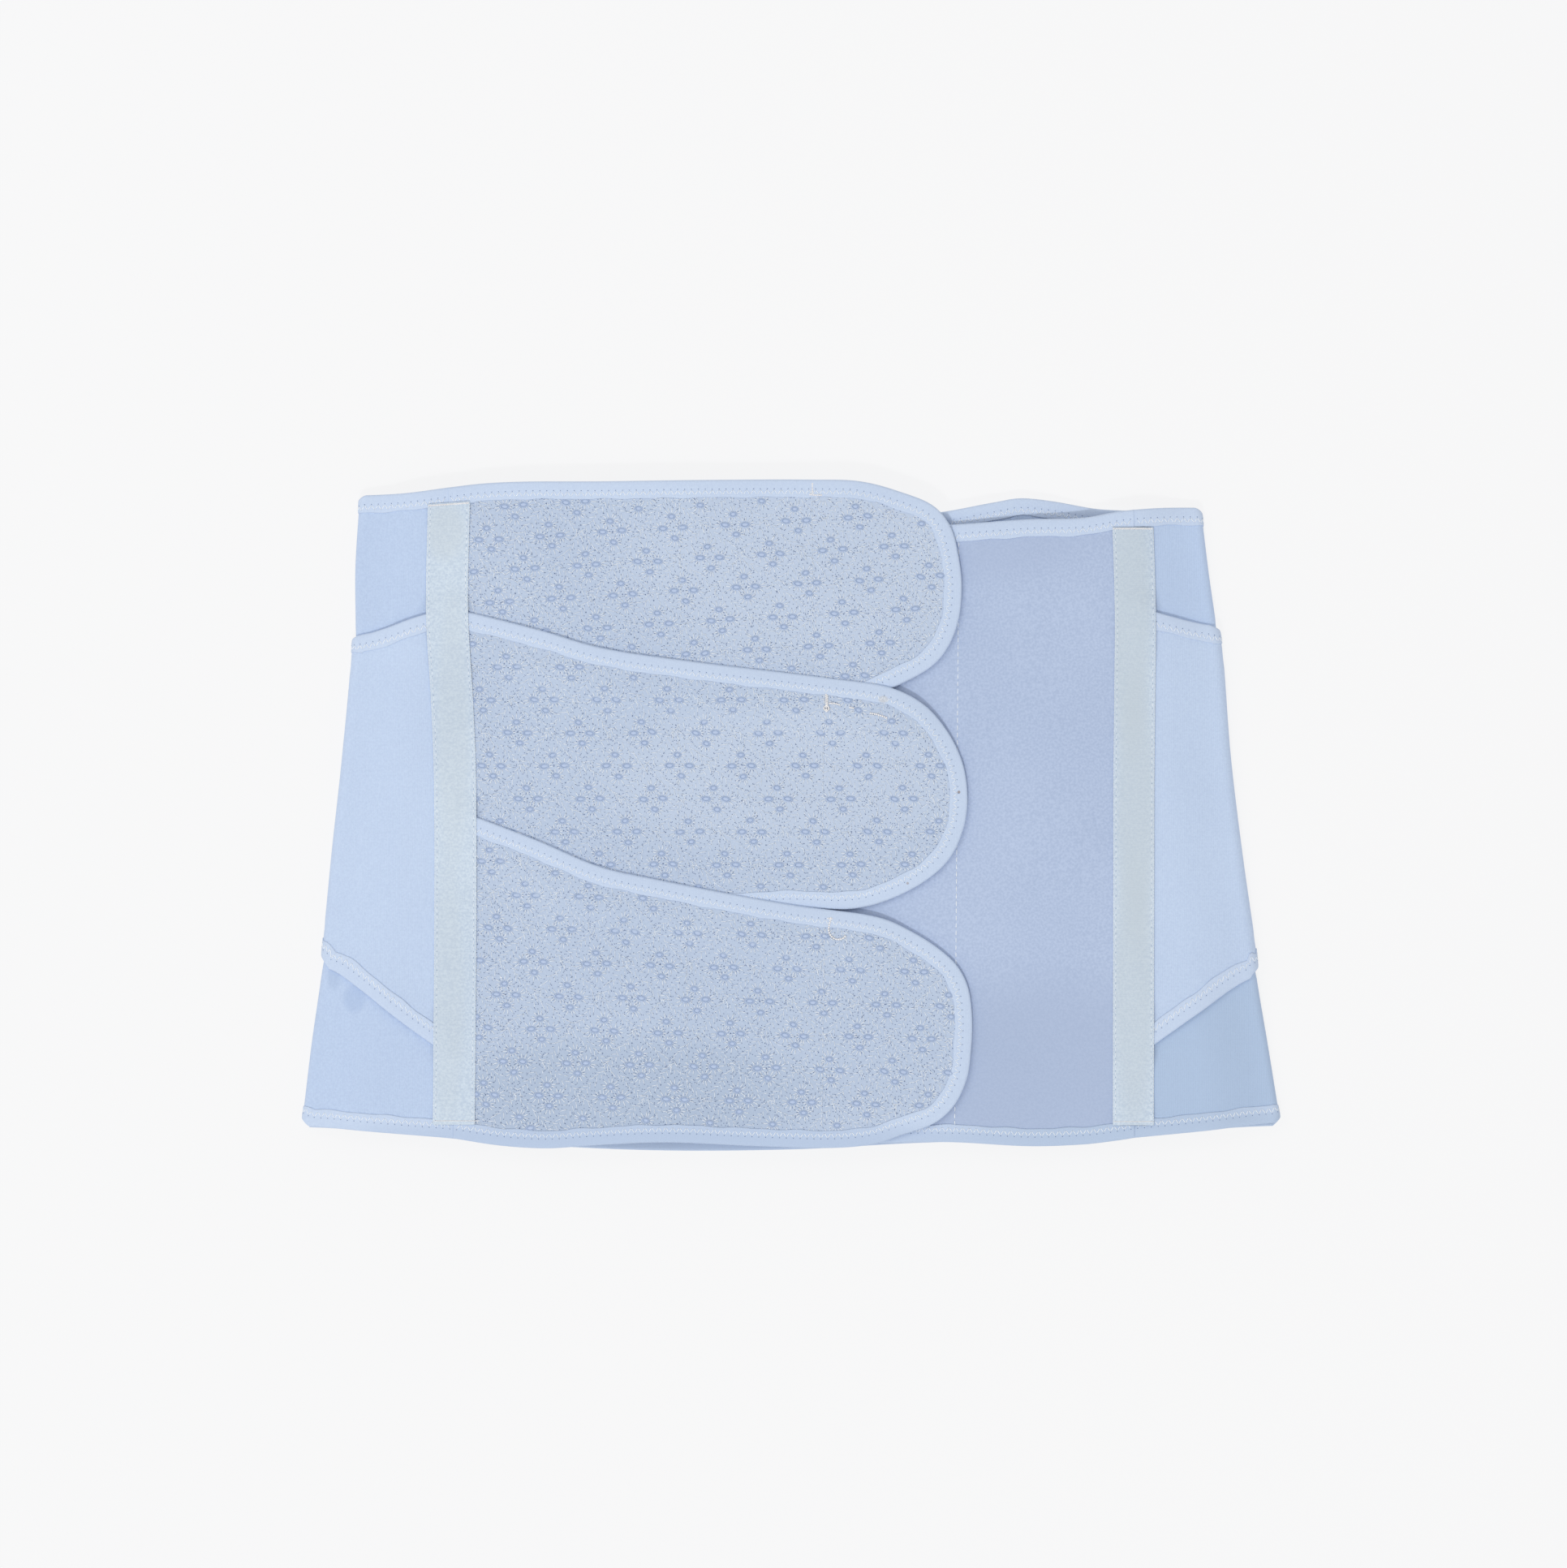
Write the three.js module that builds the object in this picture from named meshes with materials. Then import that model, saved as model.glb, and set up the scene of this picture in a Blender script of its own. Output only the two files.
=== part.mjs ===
// Abdominal binder, closed and lying flat with its front up.
// Millimetres. +X runs from fold to fold, +Y from the hip hem to the chest hem, +Z up through the front.
import * as THREE from "three";
import * as BufferGeometryUtils from "three/addons/utils/BufferGeometryUtils.js";

// Overall sizes
const HIP_WIDTH = 455; // fold to fold along the hip hem
const HEIGHT = 312; // lowest point of the hip hem to the crest of the chest hem
const FLAP_REACH = 242; // middle of the left tape to the longest flap tip
const LOOP_REACH = 207; // middle of the right tape to the loop panel's hidden end

// Cloth walls
const BODY_WALL = 1.6;
const OVERLAY_WALL = 1.6;
const FLAP_WALL = 1.6;
const LOOP_WALL = 1.8;
const HOOK_WALL = 1.3;
const TAPE_WALL = 1.2;
const TAPE_WIDTH = 20;
const BINDING_PLY = 0.8; // one leg of the folded knit binding
const BINDING_WIDTH = 8.3;

// Clearances and heights of the lying form
const GAP = 0.3; // between pieces that touch
const BINDING_SLACK = 0.25; // between a cloth and the binding folded over its edge
const CAVITY = 4.8; // height of the hollow for the torso, under the front bindings
const FOLD_ROUND = 5.6; // height of the rolled side folds, middle of wall to middle of wall
const SIDE_SLOPE = 30; // width of the rise from a side fold to the front's full height
const DRAPE = 25; // width over which the back comes down beside the overlay band

// Hidden laps of the flaps, and the pads on their undersides
const FLAP_LAP = 15; // how far a flap's top edge covers the flap above it
const LAP_FALL = 18; // width over which a flap comes down again below its lap
const LAP_FADE = 28; // length over which a lap ends towards the tip
const HOOK_INSET = 11.5; // flap edge to hook pad
const HOOK_START = 0.709; // where the pads start, as a share of the flaps' reach
const HOOK_END = 0.9;
const FLAP_RISE = 0.42; // share of the reach over which a flap climbs onto the loop panel

// Fold lines: the middle of the wall, as shares of HEIGHT and of half HIP_WIDTH
const FOLDS = [
  { up: 0.045, left: 0.997, right: 0.9965 },
  { up: 0.16, left: 0.978, right: 0.972 },
  { up: 0.25, left: 0.96, right: 0.953 },
  { up: 0.311, left: 0.948, right: 0.941 },
  { up: 0.449, left: 0.929, right: 0.914 },
  { up: 0.59, left: 0.908, right: 0.889 },
  { up: 0.75, left: 0.889, right: 0.868 },
  { up: 0.865, left: 0.889, right: 0.851 },
  { up: 0.962, left: 0.881, right: 0.834 },
];

// Middle lines of the two tapes, in the same shares
const TAPES = [
  { up: 0.038, left: -0.69, right: 0.6996 },
  { up: 0.337, left: -0.6867, right: 0.7004 },
  { up: 0.553, left: -0.6875, right: 0.7008 },
  { up: 0.667, left: -0.6933, right: 0.7024 },
  { up: 0.806, left: -0.7036, right: 0.7035 },
  { up: 0.963, left: -0.7, right: 0.6975 },
];

// The wrap is followed from the left tape (0) over the left front (1), round the left fold (2), along the back (3),
// round the right fold (4) to the right tape (5). Hems of the body, as shares of HEIGHT.
const LEGS = 5;
const BODY_HEMS = [
  { at: 0, low: 0.0186, high: 0.993 },
  { at: 0.5, low: 0.0272, high: 0.9853 },
  { at: 1, low: 0.036, high: 0.978 },
  { at: 1.5, low: 0.04, high: 0.9766 },
  { at: 2, low: 0.034, high: 0.975 },
  { at: 2.2, low: 0.011, high: 0.9725 },
  { at: 2.35, low: 0, high: 0.97 },
  { at: 2.5, low: 0.001, high: 0.963 },
  { at: 2.62, low: 0.01, high: 0.956 },
  { at: 2.68, low: 0.013, high: 0.955 },
  { at: 2.76, low: 0.016, high: 0.969 },
  { at: 2.79, low: 0.017, high: 0.9705 },
  { at: 2.83, low: 0.02, high: 0.9635 },
  { at: 2.89, low: 0.026, high: 0.951 },
  { at: 3, low: 0.036, high: 0.9535 },
  { at: 3.5, low: 0.042, high: 0.957 },
  { at: 4, low: 0.038, high: 0.9575 },
  { at: 4.5, low: 0.026, high: 0.957 },
  { at: 5, low: 0.0195, high: 0.954 },
];

// Edges of the overlay band, the same way. It narrows across the back.
const OVERLAY_EDGES = [
  { at: 0, low: 0.136, high: 0.808 },
  { at: 0.4, low: 0.192, high: 0.793 },
  { at: 0.75, low: 0.242, high: 0.777 },
  { at: 1, low: 0.27, high: 0.769 },
  { at: 1.5, low: 0.284, high: 0.768 },
  { at: 2, low: 0.296, high: 0.762 },
  { at: 2.5, low: 0.337, high: 0.721 },
  { at: 3, low: 0.28, high: 0.775 },
  { at: 3.5, low: 0.266, high: 0.781 },
  { at: 4, low: 0.25, high: 0.783 },
  { at: 4.5, low: 0.19, high: 0.795 },
  { at: 5, low: 0.136, high: 0.811 },
];

// Outlines of the flaps from the left tape to the tip: shares of FLAP_REACH and of HEIGHT
const FLAPS = [
  {
    name: "upper",
    lapEnd: null,
    top: [
      { along: 0, up: 0.993 },
      { along: 0.136, up: 0.997 },
      { along: 0.292, up: 0.997 },
      { along: 0.49, up: 1 },
      { along: 0.689, up: 1 },
      { along: 0.789, up: 0.997 },
      { along: 0.864, up: 0.981 },
      { along: 0.931, up: 0.959 },
      { along: 0.964, up: 0.928 },
      { along: 0.983, up: 0.875 },
      { along: 0.988, up: 0.836 },
    ],
    bottom: [
      { along: 0, up: 0.765 },
      { along: 0.174, up: 0.73 },
      { along: 0.288, up: 0.705 },
      { along: 0.484, up: 0.682 },
      { along: 0.66, up: 0.663 },
      { along: 0.769, up: 0.666 },
      { along: 0.848, up: 0.689 },
      { along: 0.925, up: 0.721 },
      { along: 0.957, up: 0.748 },
      { along: 0.98, up: 0.787 },
      { along: 0.988, up: 0.836 },
    ],
  },
  {
    name: "middle",
    lapEnd: 0.857,
    top: [
      { along: 0, up: 0.81 },
      { along: 0.177, up: 0.775 },
      { along: 0.291, up: 0.749 },
      { along: 0.488, up: 0.726 },
      { along: 0.711, up: 0.705 },
      { along: 0.848, up: 0.688 },
      { along: 0.907, up: 0.663 },
      { along: 0.945, up: 0.628 },
      { along: 0.968, up: 0.593 },
      { along: 0.979, up: 0.563 },
      { along: 0.983, up: 0.517 },
    ],
    bottom: [
      { along: 0, up: 0.465 },
      { along: 0.152, up: 0.419 },
      { along: 0.279, up: 0.38 },
      { along: 0.382, up: 0.363 },
      { along: 0.477, up: 0.355 },
      { along: 0.63, up: 0.361 },
      { along: 0.76, up: 0.36 },
      { along: 0.822, up: 0.371 },
      { along: 0.9, up: 0.401 },
      { along: 0.947, up: 0.434 },
      { along: 0.974, up: 0.477 },
      { along: 0.983, up: 0.517 },
    ],
  },
  {
    name: "lower",
    lapEnd: 0.775,
    top: [
      { along: 0, up: 0.509 },
      { along: 0.152, up: 0.464 },
      { along: 0.279, up: 0.423 },
      { along: 0.382, up: 0.405 },
      { along: 0.641, up: 0.367 },
      { along: 0.817, up: 0.347 },
      { along: 0.873, up: 0.328 },
      { along: 0.925, up: 0.303 },
      { along: 0.963, up: 0.276 },
      { along: 0.984, up: 0.245 },
      { along: 0.993, up: 0.197 },
    ],
    bottom: [
      { along: 0, up: 0.0186 },
      { along: 0.09, up: 0.008 },
      { along: 0.181, up: 0.004 },
      { along: 0.26, up: 0.008 },
      { along: 0.4, up: 0.013 },
      { along: 0.597, up: 0.007 },
      { along: 0.736, up: 0.005 },
      { along: 0.808, up: 0.011 },
      { along: 0.859, up: 0.024 },
      { along: 0.923, up: 0.042 },
      { along: 0.96, up: 0.068 },
      { along: 0.984, up: 0.108 },
      { along: 0.991, up: 0.145 },
      { along: 0.993, up: 0.197 },
    ],
  },
];

// Hems of the loop panel from the right tape to its hidden left end: shares of LOOP_REACH and of HEIGHT
const LOOP_HEMS = [
  { along: 0, low: 0.0195, high: 0.954 },
  { along: 0.038, low: 0.0155, high: 0.951 },
  { along: 0.116, low: 0.0095, high: 0.942 },
  { along: 0.237, low: 0.007, high: 0.94 },
  { along: 0.41, low: 0.013, high: 0.932 },
  { along: 0.583, low: 0.012, high: 0.929 },
  { along: 0.78, low: 0.016, high: 0.925 },
  { along: 1, low: 0.018, high: 0.923 },
];

// Sizes that follow from the ones above
const HALF = HIP_WIDTH / 2;
const bindingHalf = (wall) => wall / 2 + BINDING_SLACK + BINDING_PLY; // middle of the cloth to the binding's face
const OVERLAY_OUT = BODY_WALL / 2 + GAP + bindingHalf(OVERLAY_WALL); // body to overlay where the overlay is bound
const OVERLAY_NEAR = BODY_WALL / 2 + GAP + OVERLAY_WALL / 2; // body to overlay between its bindings
const HEM_LEVEL = bindingHalf(BODY_WALL); // the back's middle above the ground at its hems
const BAND_LEVEL = OVERLAY_OUT + bindingHalf(OVERLAY_WALL); // the same over the overlay band
const FRONT_BINDING = Math.max(bindingHalf(BODY_WALL), bindingHalf(LOOP_WALL), bindingHalf(FLAP_WALL));
const FRONT_LEVEL = BAND_LEVEL + BODY_WALL / 2 + CAVITY + FRONT_BINDING;
const FLAP_LEVEL =
  FRONT_LEVEL + bindingHalf(LOOP_WALL) + GAP + Math.max(bindingHalf(FLAP_WALL), FLAP_WALL / 2 + GAP + HOOK_WALL);
const LAP_LIFT = 2 * bindingHalf(FLAP_WALL) + GAP;
const SLOT = BINDING_PLY + BINDING_SLACK; // binding's outer edge to the cloth's own edge

const mix = (a, b, t) => a + (b - a) * t;
const steps = (from, to, count) => Array.from({ length: count + 1 }, (_, i) => mix(from, to, i / count));
const clamp01 = (t) => Math.min(1, Math.max(0, t));
const smooth = (t) => clamp01(t) ** 2 * (3 - 2 * clamp01(t));

/** Smooth value of a table's column at a key, through every row. */
function spline(rows, key, at, column) {
  const last = rows.length - 1;
  let i = rows.findIndex((row) => row[key] > at) - 1;
  if (i < 0) i = at <= rows[0][key] ? 0 : last - 1;
  const slope = (j) => {
    const a = rows[Math.max(0, j - 1)];
    const b = rows[Math.min(last, j + 1)];
    return (b[column] - a[column]) / (b[key] - a[key]);
  };
  const span = rows[i + 1][key] - rows[i][key];
  const t = clamp01((at - rows[i][key]) / span);
  const a = rows[i][column];
  const b = rows[i + 1][column];
  const bend = slope(i) * span * t * (1 - t) ** 2 - slope(i + 1) * span * t * t * (1 - t);
  return mix(a, b, smooth(t)) + bend;
}

/** 1 between low and high, and 0 beyond them by the width of the ramp. */
const plateau = (y, low, high, ramp) => smooth(1 - Math.max(low - y, y - high, 0) / ramp);

const foldX = (side, y) => HALF * spline(FOLDS, "up", y / HEIGHT, side);
const tapeX = (side, y) => HALF * spline(TAPES, "up", y / HEIGHT, side);
const hemY = (rows, at, column) => HEIGHT * spline(rows, "at", at, column);

/** A point of the wrap, off millimetres outside the middle of the body's wall. */
function wrapPoint(at, y, off) {
  const low = hemY(OVERLAY_EDGES, at, "low");
  const high = hemY(OVERLAY_EDGES, at, "high");
  const back = mix(HEM_LEVEL, BAND_LEVEL, plateau(y, low, high, DRAPE));
  const leg = Math.min(LEGS - 1, Math.floor(at));
  const t = at - leg;
  const r = FOLD_ROUND / 2;
  if (leg === 2) {
    return [mix(r - foldX("left", y), foldX("right", y) - r, t), y, back - off];
  }
  const left = leg < 2;
  const side = left ? "left" : "right";
  const sign = left ? -1 : 1;
  const roundX = foldX(side, y) - r;
  if (leg === 1 || leg === 3) {
    const turn = Math.PI * (left ? t : 1 - t);
    const reach = roundX + (r + off) * Math.sin(turn);
    return [sign * reach, y, back + r + (r + off) * Math.cos(turn)];
  }
  const seam = Math.abs(tapeX(side, y)) + GAP / 2;
  const reach = mix(seam, roundX, left ? t : 1 - t);
  const front = mix(back + FOLD_ROUND, FRONT_LEVEL, smooth((roundX - reach) / SIDE_SLOPE));
  return [sign * reach, y, front + off];
}

/** Offset of the overlay band from the body, more where it is bound. */
function overlayOff(at, y) {
  const low = hemY(OVERLAY_EDGES, at, "low");
  const high = hemY(OVERLAY_EDGES, at, "high");
  const inside = Math.min(y - low, high - y) - BINDING_WIDTH;
  return mix(OVERLAY_OUT, OVERLAY_NEAR, smooth(inside / BINDING_WIDTH));
}

/** Closes loose triangles into one body, dropping those without area. */
function closedGeometry(points, faces) {
  const soup = new THREE.BufferGeometry();
  soup.setAttribute("position", new THREE.Float32BufferAttribute(points.flat(), 3));
  soup.setIndex(faces.flat());
  const merged = BufferGeometryUtils.mergeVertices(soup, 1e-3);
  const index = merged.getIndex().array;
  const kept = [];
  for (let i = 0; i < index.length; i += 3) {
    const [a, b, c] = index.slice(i, i + 3);
    if (a !== b && b !== c && c !== a) kept.push(a, b, c);
  }
  merged.setIndex(kept);
  merged.computeVertexNormals();
  return merged;
}

/** Two triangles for each cell of a grid of points, rows of equal length. */
function gridFaces(rows, columns) {
  const faces = [];
  for (let i = 0; i + 1 < rows; i += 1) {
    for (let j = 0; j + 1 < columns; j += 1) {
      const a = i * columns + j;
      const b = a + columns;
      faces.push([a, b, b + 1], [a, b + 1, a + 1]);
    }
  }
  return faces;
}

/** Positions of a grid's outer points in order, without its last column when that is a shared middle line. */
function gridRim(rows, columns, sharedMiddle) {
  const last = columns - 1;
  const start = steps(last, 0, last).map(Math.round);
  const along = steps(1, rows - 2, rows - 3).map((i) => Math.round(i) * columns);
  const end = steps(0, last, last).map((j) => (rows - 1) * columns + Math.round(j));
  const open = [...start, ...along, ...end];
  if (sharedMiddle) return open;
  return [...open, ...steps(rows - 2, 1, rows - 3).map((i) => Math.round(i) * columns + last), last];
}

/** A cloth wall between two like surfaces of grid points, closed round its rim. */
function cloth(outside, inside, sharedMiddle = false) {
  const rows = outside.length;
  const columns = outside[0].length;
  const count = rows * columns;
  const faces = [];
  for (const [a, b, c] of gridFaces(rows, columns)) {
    faces.push([a, b, c], [a + count, c + count, b + count]);
  }
  const rim = gridRim(rows, columns, sharedMiddle);
  for (let k = 0; k + 1 < rim.length; k += 1) {
    const [a, b] = [rim[k], rim[k + 1]];
    faces.push([b, a, a + count], [b, a + count, b + count]);
  }
  return closedGeometry([...outside.flat(), ...inside.flat()], faces);
}

/** A binding folded over an edge. place(station, inset, off) gives a point inset from the edge, off its cloth's middle. */
function binding(stations, wall, place) {
  const face = bindingHalf(wall);
  const slot = wall / 2 + BINDING_SLACK;
  const section = [
    [BINDING_WIDTH, face],
    [BINDING_PLY, face],
    [0, face - BINDING_PLY],
    [0, BINDING_PLY - face],
    [BINDING_PLY, -face],
    [BINDING_WIDTH, -face],
    [BINDING_WIDTH, -slot],
    [BINDING_PLY, -slot],
    [BINDING_PLY, slot],
    [BINDING_WIDTH, slot],
  ];
  const cap = [
    [0, 1, 8],
    [0, 8, 9],
    [1, 2, 8],
    [2, 3, 8],
    [3, 7, 8],
    [3, 4, 7],
    [4, 5, 7],
    [5, 6, 7],
  ];
  const n = section.length;
  const points = stations.flatMap((station) => section.map(([inset, off]) => place(station, inset, off)));
  const faces = [];
  for (let i = 0; i + 1 < stations.length; i += 1) {
    for (let j = 0; j < n; j += 1) {
      const a = i * n + j;
      const b = i * n + ((j + 1) % n);
      faces.push([a, a + n, b + n], [a, b + n, b]);
    }
  }
  const end = (stations.length - 1) * n;
  for (const [a, b, c] of cap) {
    faces.push([a, b, c], [a + end, c + end, b + end]);
  }
  return closedGeometry(points, faces);
}

/** Turns a geometry's faces the other way if they point inwards. */
function facingOut(geometry) {
  const p = geometry.getAttribute("position");
  const index = geometry.getIndex().array;
  const corner = (k) => new THREE.Vector3().fromBufferAttribute(p, index[k]);
  let volume = 0;
  for (let i = 0; i < index.length; i += 3) {
    volume += corner(i).dot(corner(i + 1).cross(corner(i + 2)));
  }
  if (volume < 0) {
    for (let i = 0; i < index.length; i += 3) [index[i], index[i + 1]] = [index[i + 1], index[i]];
    geometry.computeVertexNormals();
  }
  return geometry;
}

// Stations round the wrap, closer where the hems wave and the folds turn
const WRAP_STATIONS = [
  ...steps(0, 1, 4),
  ...steps(1, 2, 6).slice(1),
  2.12,
  2.24,
  2.36,
  2.5,
  2.62,
  2.69,
  2.76,
  2.83,
  2.9,
  ...steps(3, 4, 6),
  ...steps(4, 5, 4).slice(1),
];

/** Rows of the overlay band between its edges, which the body under it shares. */
function bandLevels(at) {
  const low = hemY(OVERLAY_EDGES, at, "low");
  const high = hemY(OVERLAY_EDGES, at, "high");
  const foot = low + 2 * BINDING_WIDTH;
  const head = high - 2 * BINDING_WIDTH;
  return [low + BINDING_WIDTH, ...steps(foot, head, 3), high - BINDING_WIDTH];
}

function overlayLevels(at) {
  const low = hemY(OVERLAY_EDGES, at, "low");
  const high = hemY(OVERLAY_EDGES, at, "high");
  return [low + SLOT, ...bandLevels(at), high - SLOT];
}

function bodyLevels(at) {
  const low = hemY(BODY_HEMS, at, "low");
  const high = hemY(BODY_HEMS, at, "high");
  const foot = steps(low + BINDING_WIDTH, hemY(OVERLAY_EDGES, at, "low"), 3);
  const head = steps(hemY(OVERLAY_EDGES, at, "high"), high - BINDING_WIDTH, 3);
  return [low + SLOT, ...foot, ...bandLevels(at), ...head, high - SLOT];
}

/** Wrapped cloth through rows of levels, set off the body. */
function wrappedCloth(levels, wall, off) {
  const surface = (sign) =>
    WRAP_STATIONS.map((at) => levels(at).map((y) => wrapPoint(at, y, off(at, y) + (sign * wall) / 2)));
  return cloth(surface(1), surface(-1));
}

/** Binding on one edge of a wrapped cloth. */
function wrappedBinding(edges, column, wall, off) {
  const inward = column === "low" ? 1 : -1;
  return binding(WRAP_STATIONS, wall, (at, inset, n) => {
    const edge = hemY(edges, at, column);
    return wrapPoint(at, edge + inward * inset, off(at, edge + inward * BINDING_WIDTH) + n);
  });
}

/** Height of a flap's middle at a point. */
function flapLevel(flap, x, y) {
  const along = (x - tapeX("left", y)) / FLAP_REACH;
  const rest = mix(FRONT_LEVEL, FLAP_LEVEL, smooth(along / FLAP_RISE));
  if (flap.lapEnd === null) return rest;
  const below = HEIGHT * spline(flap.top, "along", along, "up") - y;
  const lap = 1 - smooth((below - FLAP_LAP) / LAP_FALL);
  const fade = 1 - smooth(((along - flap.lapEnd) * FLAP_REACH) / LAP_FADE);
  return rest + LAP_LIFT * lap * fade;
}

/** Stations along a flap's outline from the root's foot round the tip to the root's head, closer where it curves. */
function flapOutline(flap, count) {
  const rows = [...flap.bottom, ...flap.top.slice(0, -1).reverse()];
  const toPoint = ({ along, up }) => {
    const y = up * HEIGHT;
    return new THREE.Vector3(tapeX("left", y) + GAP / 2 + along * FLAP_REACH, y, 0);
  };
  const curve = new THREE.CatmullRomCurve3(rows.map(toPoint), false, "centripetal");
  const fine = curve.getSpacedPoints(count * 8);
  const heading = (i) => {
    const d = fine[Math.min(i + 1, fine.length - 1)].clone().sub(fine[Math.max(i - 1, 0)]);
    return d.normalize();
  };
  const spent = [0];
  for (let i = 1; i < fine.length; i += 1) {
    const bend = heading(i).angleTo(heading(i - 1));
    spent.push(spent[i - 1] + fine[i].distanceTo(fine[i - 1]) / HEIGHT + bend / Math.PI / 2);
  }
  return steps(0, spent[spent.length - 1], count).map((target, k) => {
    const i = Math.max(1, spent.findIndex((value) => value >= target - 1e-9));
    const t = (target - spent[i - 1]) / (spent[i] - spent[i - 1]);
    const p = fine[i - 1].clone().lerp(fine[i], t);
    const d = fine[i].clone().sub(fine[i - 1]).normalize();
    const atRoot = k === 0 || k === count;
    const inward = atRoot ? new THREE.Vector3(0, Math.sign(d.x), 0) : new THREE.Vector3(-d.y, d.x, 0);
    return { p, inward, atRoot };
  });
}

/** A point of a flap, off millimetres above its middle. Its root follows the seam under the tape. */
function flapPoint(flap, station, { x, y }, off) {
  const placed = station.atRoot ? tapeX("left", y) + GAP / 2 : x;
  return [placed, y, flapLevel(flap, placed, y) + off];
}

// Rings of a flap's cloth from its edge to its middle line, as shares past the binding
const FLAP_RINGS = [0, 0.2, 0.42, 0.68, 1];
const FLAP_STATIONS = 35;
const SPINE_BACK = 3.2; // stations between the tip and the end of the middle line

/** A flap's cloth: rings of points that run in from the outline to the middle line. */
function flapCloth(flap) {
  const outline = flapOutline(flap, FLAP_STATIONS);
  const inset = (k, by) => outline[k].p.clone().addScaledVector(outline[k].inward, by);
  const half = (FLAP_STATIONS - 1) / 2;
  const middle = (k) => inset(k, BINDING_WIDTH).lerp(inset(FLAP_STATIONS - k, BINDING_WIDTH), 0.5);
  const spine = (k) => {
    const q = (Math.min(k, FLAP_STATIONS - k) * (half - SPINE_BACK)) / half;
    const i = Math.floor(q);
    return middle(i).lerp(middle(i + 1), q - i);
  };
  const surface = (sign) =>
    outline.map((station, k) => {
      const ring = [inset(k, SLOT), ...FLAP_RINGS.map((share) => inset(k, BINDING_WIDTH).lerp(spine(k), share))];
      return ring.map((p) => flapPoint(flap, station, p, (sign * FLAP_WALL) / 2));
    });
  return cloth(surface(1), surface(-1), true);
}

function flapBinding(flap) {
  const outline = flapOutline(flap, FLAP_STATIONS);
  return binding(outline, FLAP_WALL, (station, inset, off) => {
    const p = station.p.clone().addScaledVector(station.inward, inset);
    return flapPoint(flap, station, p, off);
  });
}

/** Hook pad sewn under a flap's tip. */
function hookPad(flap) {
  const insetTop = flap.lapEnd === null ? HOOK_INSET : FLAP_LAP + LAP_FALL;
  const surface = (sign) =>
    steps(HOOK_START, HOOK_END, 6).map((along) => {
      const edge = (rows) => HEIGHT * spline(rows, "along", along, "up");
      const low = edge(flap.bottom) + HOOK_INSET;
      const high = edge(flap.top) - insetTop;
      return steps(low, high, 4).map((y) => {
        const x = tapeX("left", y) + along * FLAP_REACH;
        const under = FLAP_WALL / 2 + GAP + HOOK_WALL / 2;
        return [x, y, flapLevel(flap, x, y) - under + (sign * HOOK_WALL) / 2];
      });
    });
  return cloth(surface(1), surface(-1));
}

const loopX = (along, y) => tapeX("right", y) - GAP / 2 - along * LOOP_REACH;
const loopEdge = (along, column) => HEIGHT * spline(LOOP_HEMS, "along", along, column);
const LOOP_STATIONS = [0, 0.06, 0.12, 0.24, 0.36, 0.5, 0.65, 0.8, 1];

function loopPanel() {
  const surface = (sign) =>
    LOOP_STATIONS.map((along) => {
      const low = loopEdge(along, "low") + SLOT;
      const high = loopEdge(along, "high") - SLOT;
      return steps(low, high, 5).map((y) => [loopX(along, y), y, FRONT_LEVEL + (sign * LOOP_WALL) / 2]);
    });
  return cloth(surface(1), surface(-1));
}

function loopBinding(column) {
  const inward = column === "low" ? 1 : -1;
  return binding(LOOP_STATIONS, LOOP_WALL, (along, inset, off) => {
    const y = loopEdge(along, column) + inward * inset;
    return [loopX(along, y), y, FRONT_LEVEL + off];
  });
}

/** Height of a tape's underside: over the seam, the overlay band, its bindings and the flaps' laps. */
function tapeLevel(side, y) {
  const at = side === "left" ? 0 : LEGS;
  const low = hemY(OVERLAY_EDGES, at, "low");
  const high = hemY(OVERLAY_EDGES, at, "high");
  const bound = OVERLAY_OUT + bindingHalf(OVERLAY_WALL);
  const plain = OVERLAY_NEAR + OVERLAY_WALL / 2;
  const ramp = TAPE_WIDTH / 2;
  const skew = TAPE_WIDTH / 2; // the edges slant under the tape's width
  const bumps = [
    Math.max(BODY_WALL, LOOP_WALL, FLAP_WALL) / 2,
    plain * plateau(y, low - skew, high + skew, ramp),
    bound * plateau(y, low - skew, low + BINDING_WIDTH + skew, ramp),
    bound * plateau(y, high - BINDING_WIDTH - skew, high + skew, ramp),
  ];
  if (side === "left") {
    for (const flap of FLAPS) {
      if (flap.lapEnd === null) continue;
      const edge = HEIGHT * flap.top[0].up;
      const lapTop = LAP_LIFT + bindingHalf(FLAP_WALL);
      bumps.push(lapTop * plateau(y, edge - BINDING_WIDTH - skew, edge + skew / 2, LAP_FALL));
      bumps.push((LAP_LIFT + FLAP_WALL / 2) * plateau(y, edge - FLAP_LAP - skew, edge, LAP_FALL));
    }
  }
  return FRONT_LEVEL + GAP + Math.max(...bumps);
}

const TAPE_STATIONS = 30;

function tape(side) {
  const at = side === "left" ? 0 : LEGS;
  const low = hemY(BODY_HEMS, at, "low") + BINDING_WIDTH + TAPE_WIDTH / 10;
  const high = hemY(BODY_HEMS, at, "high") - BINDING_WIDTH - TAPE_WIDTH / 10;
  const surface = (sign) =>
    steps(low, high, TAPE_STATIONS).map((y) =>
      [-TAPE_WIDTH / 2, TAPE_WIDTH / 2].map((dx) => [
        tapeX(side, y) - dx,
        y,
        tapeLevel(side, y) + (sign > 0 ? TAPE_WALL : 0),
      ]),
    );
  return cloth(surface(1), surface(-1));
}

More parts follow.
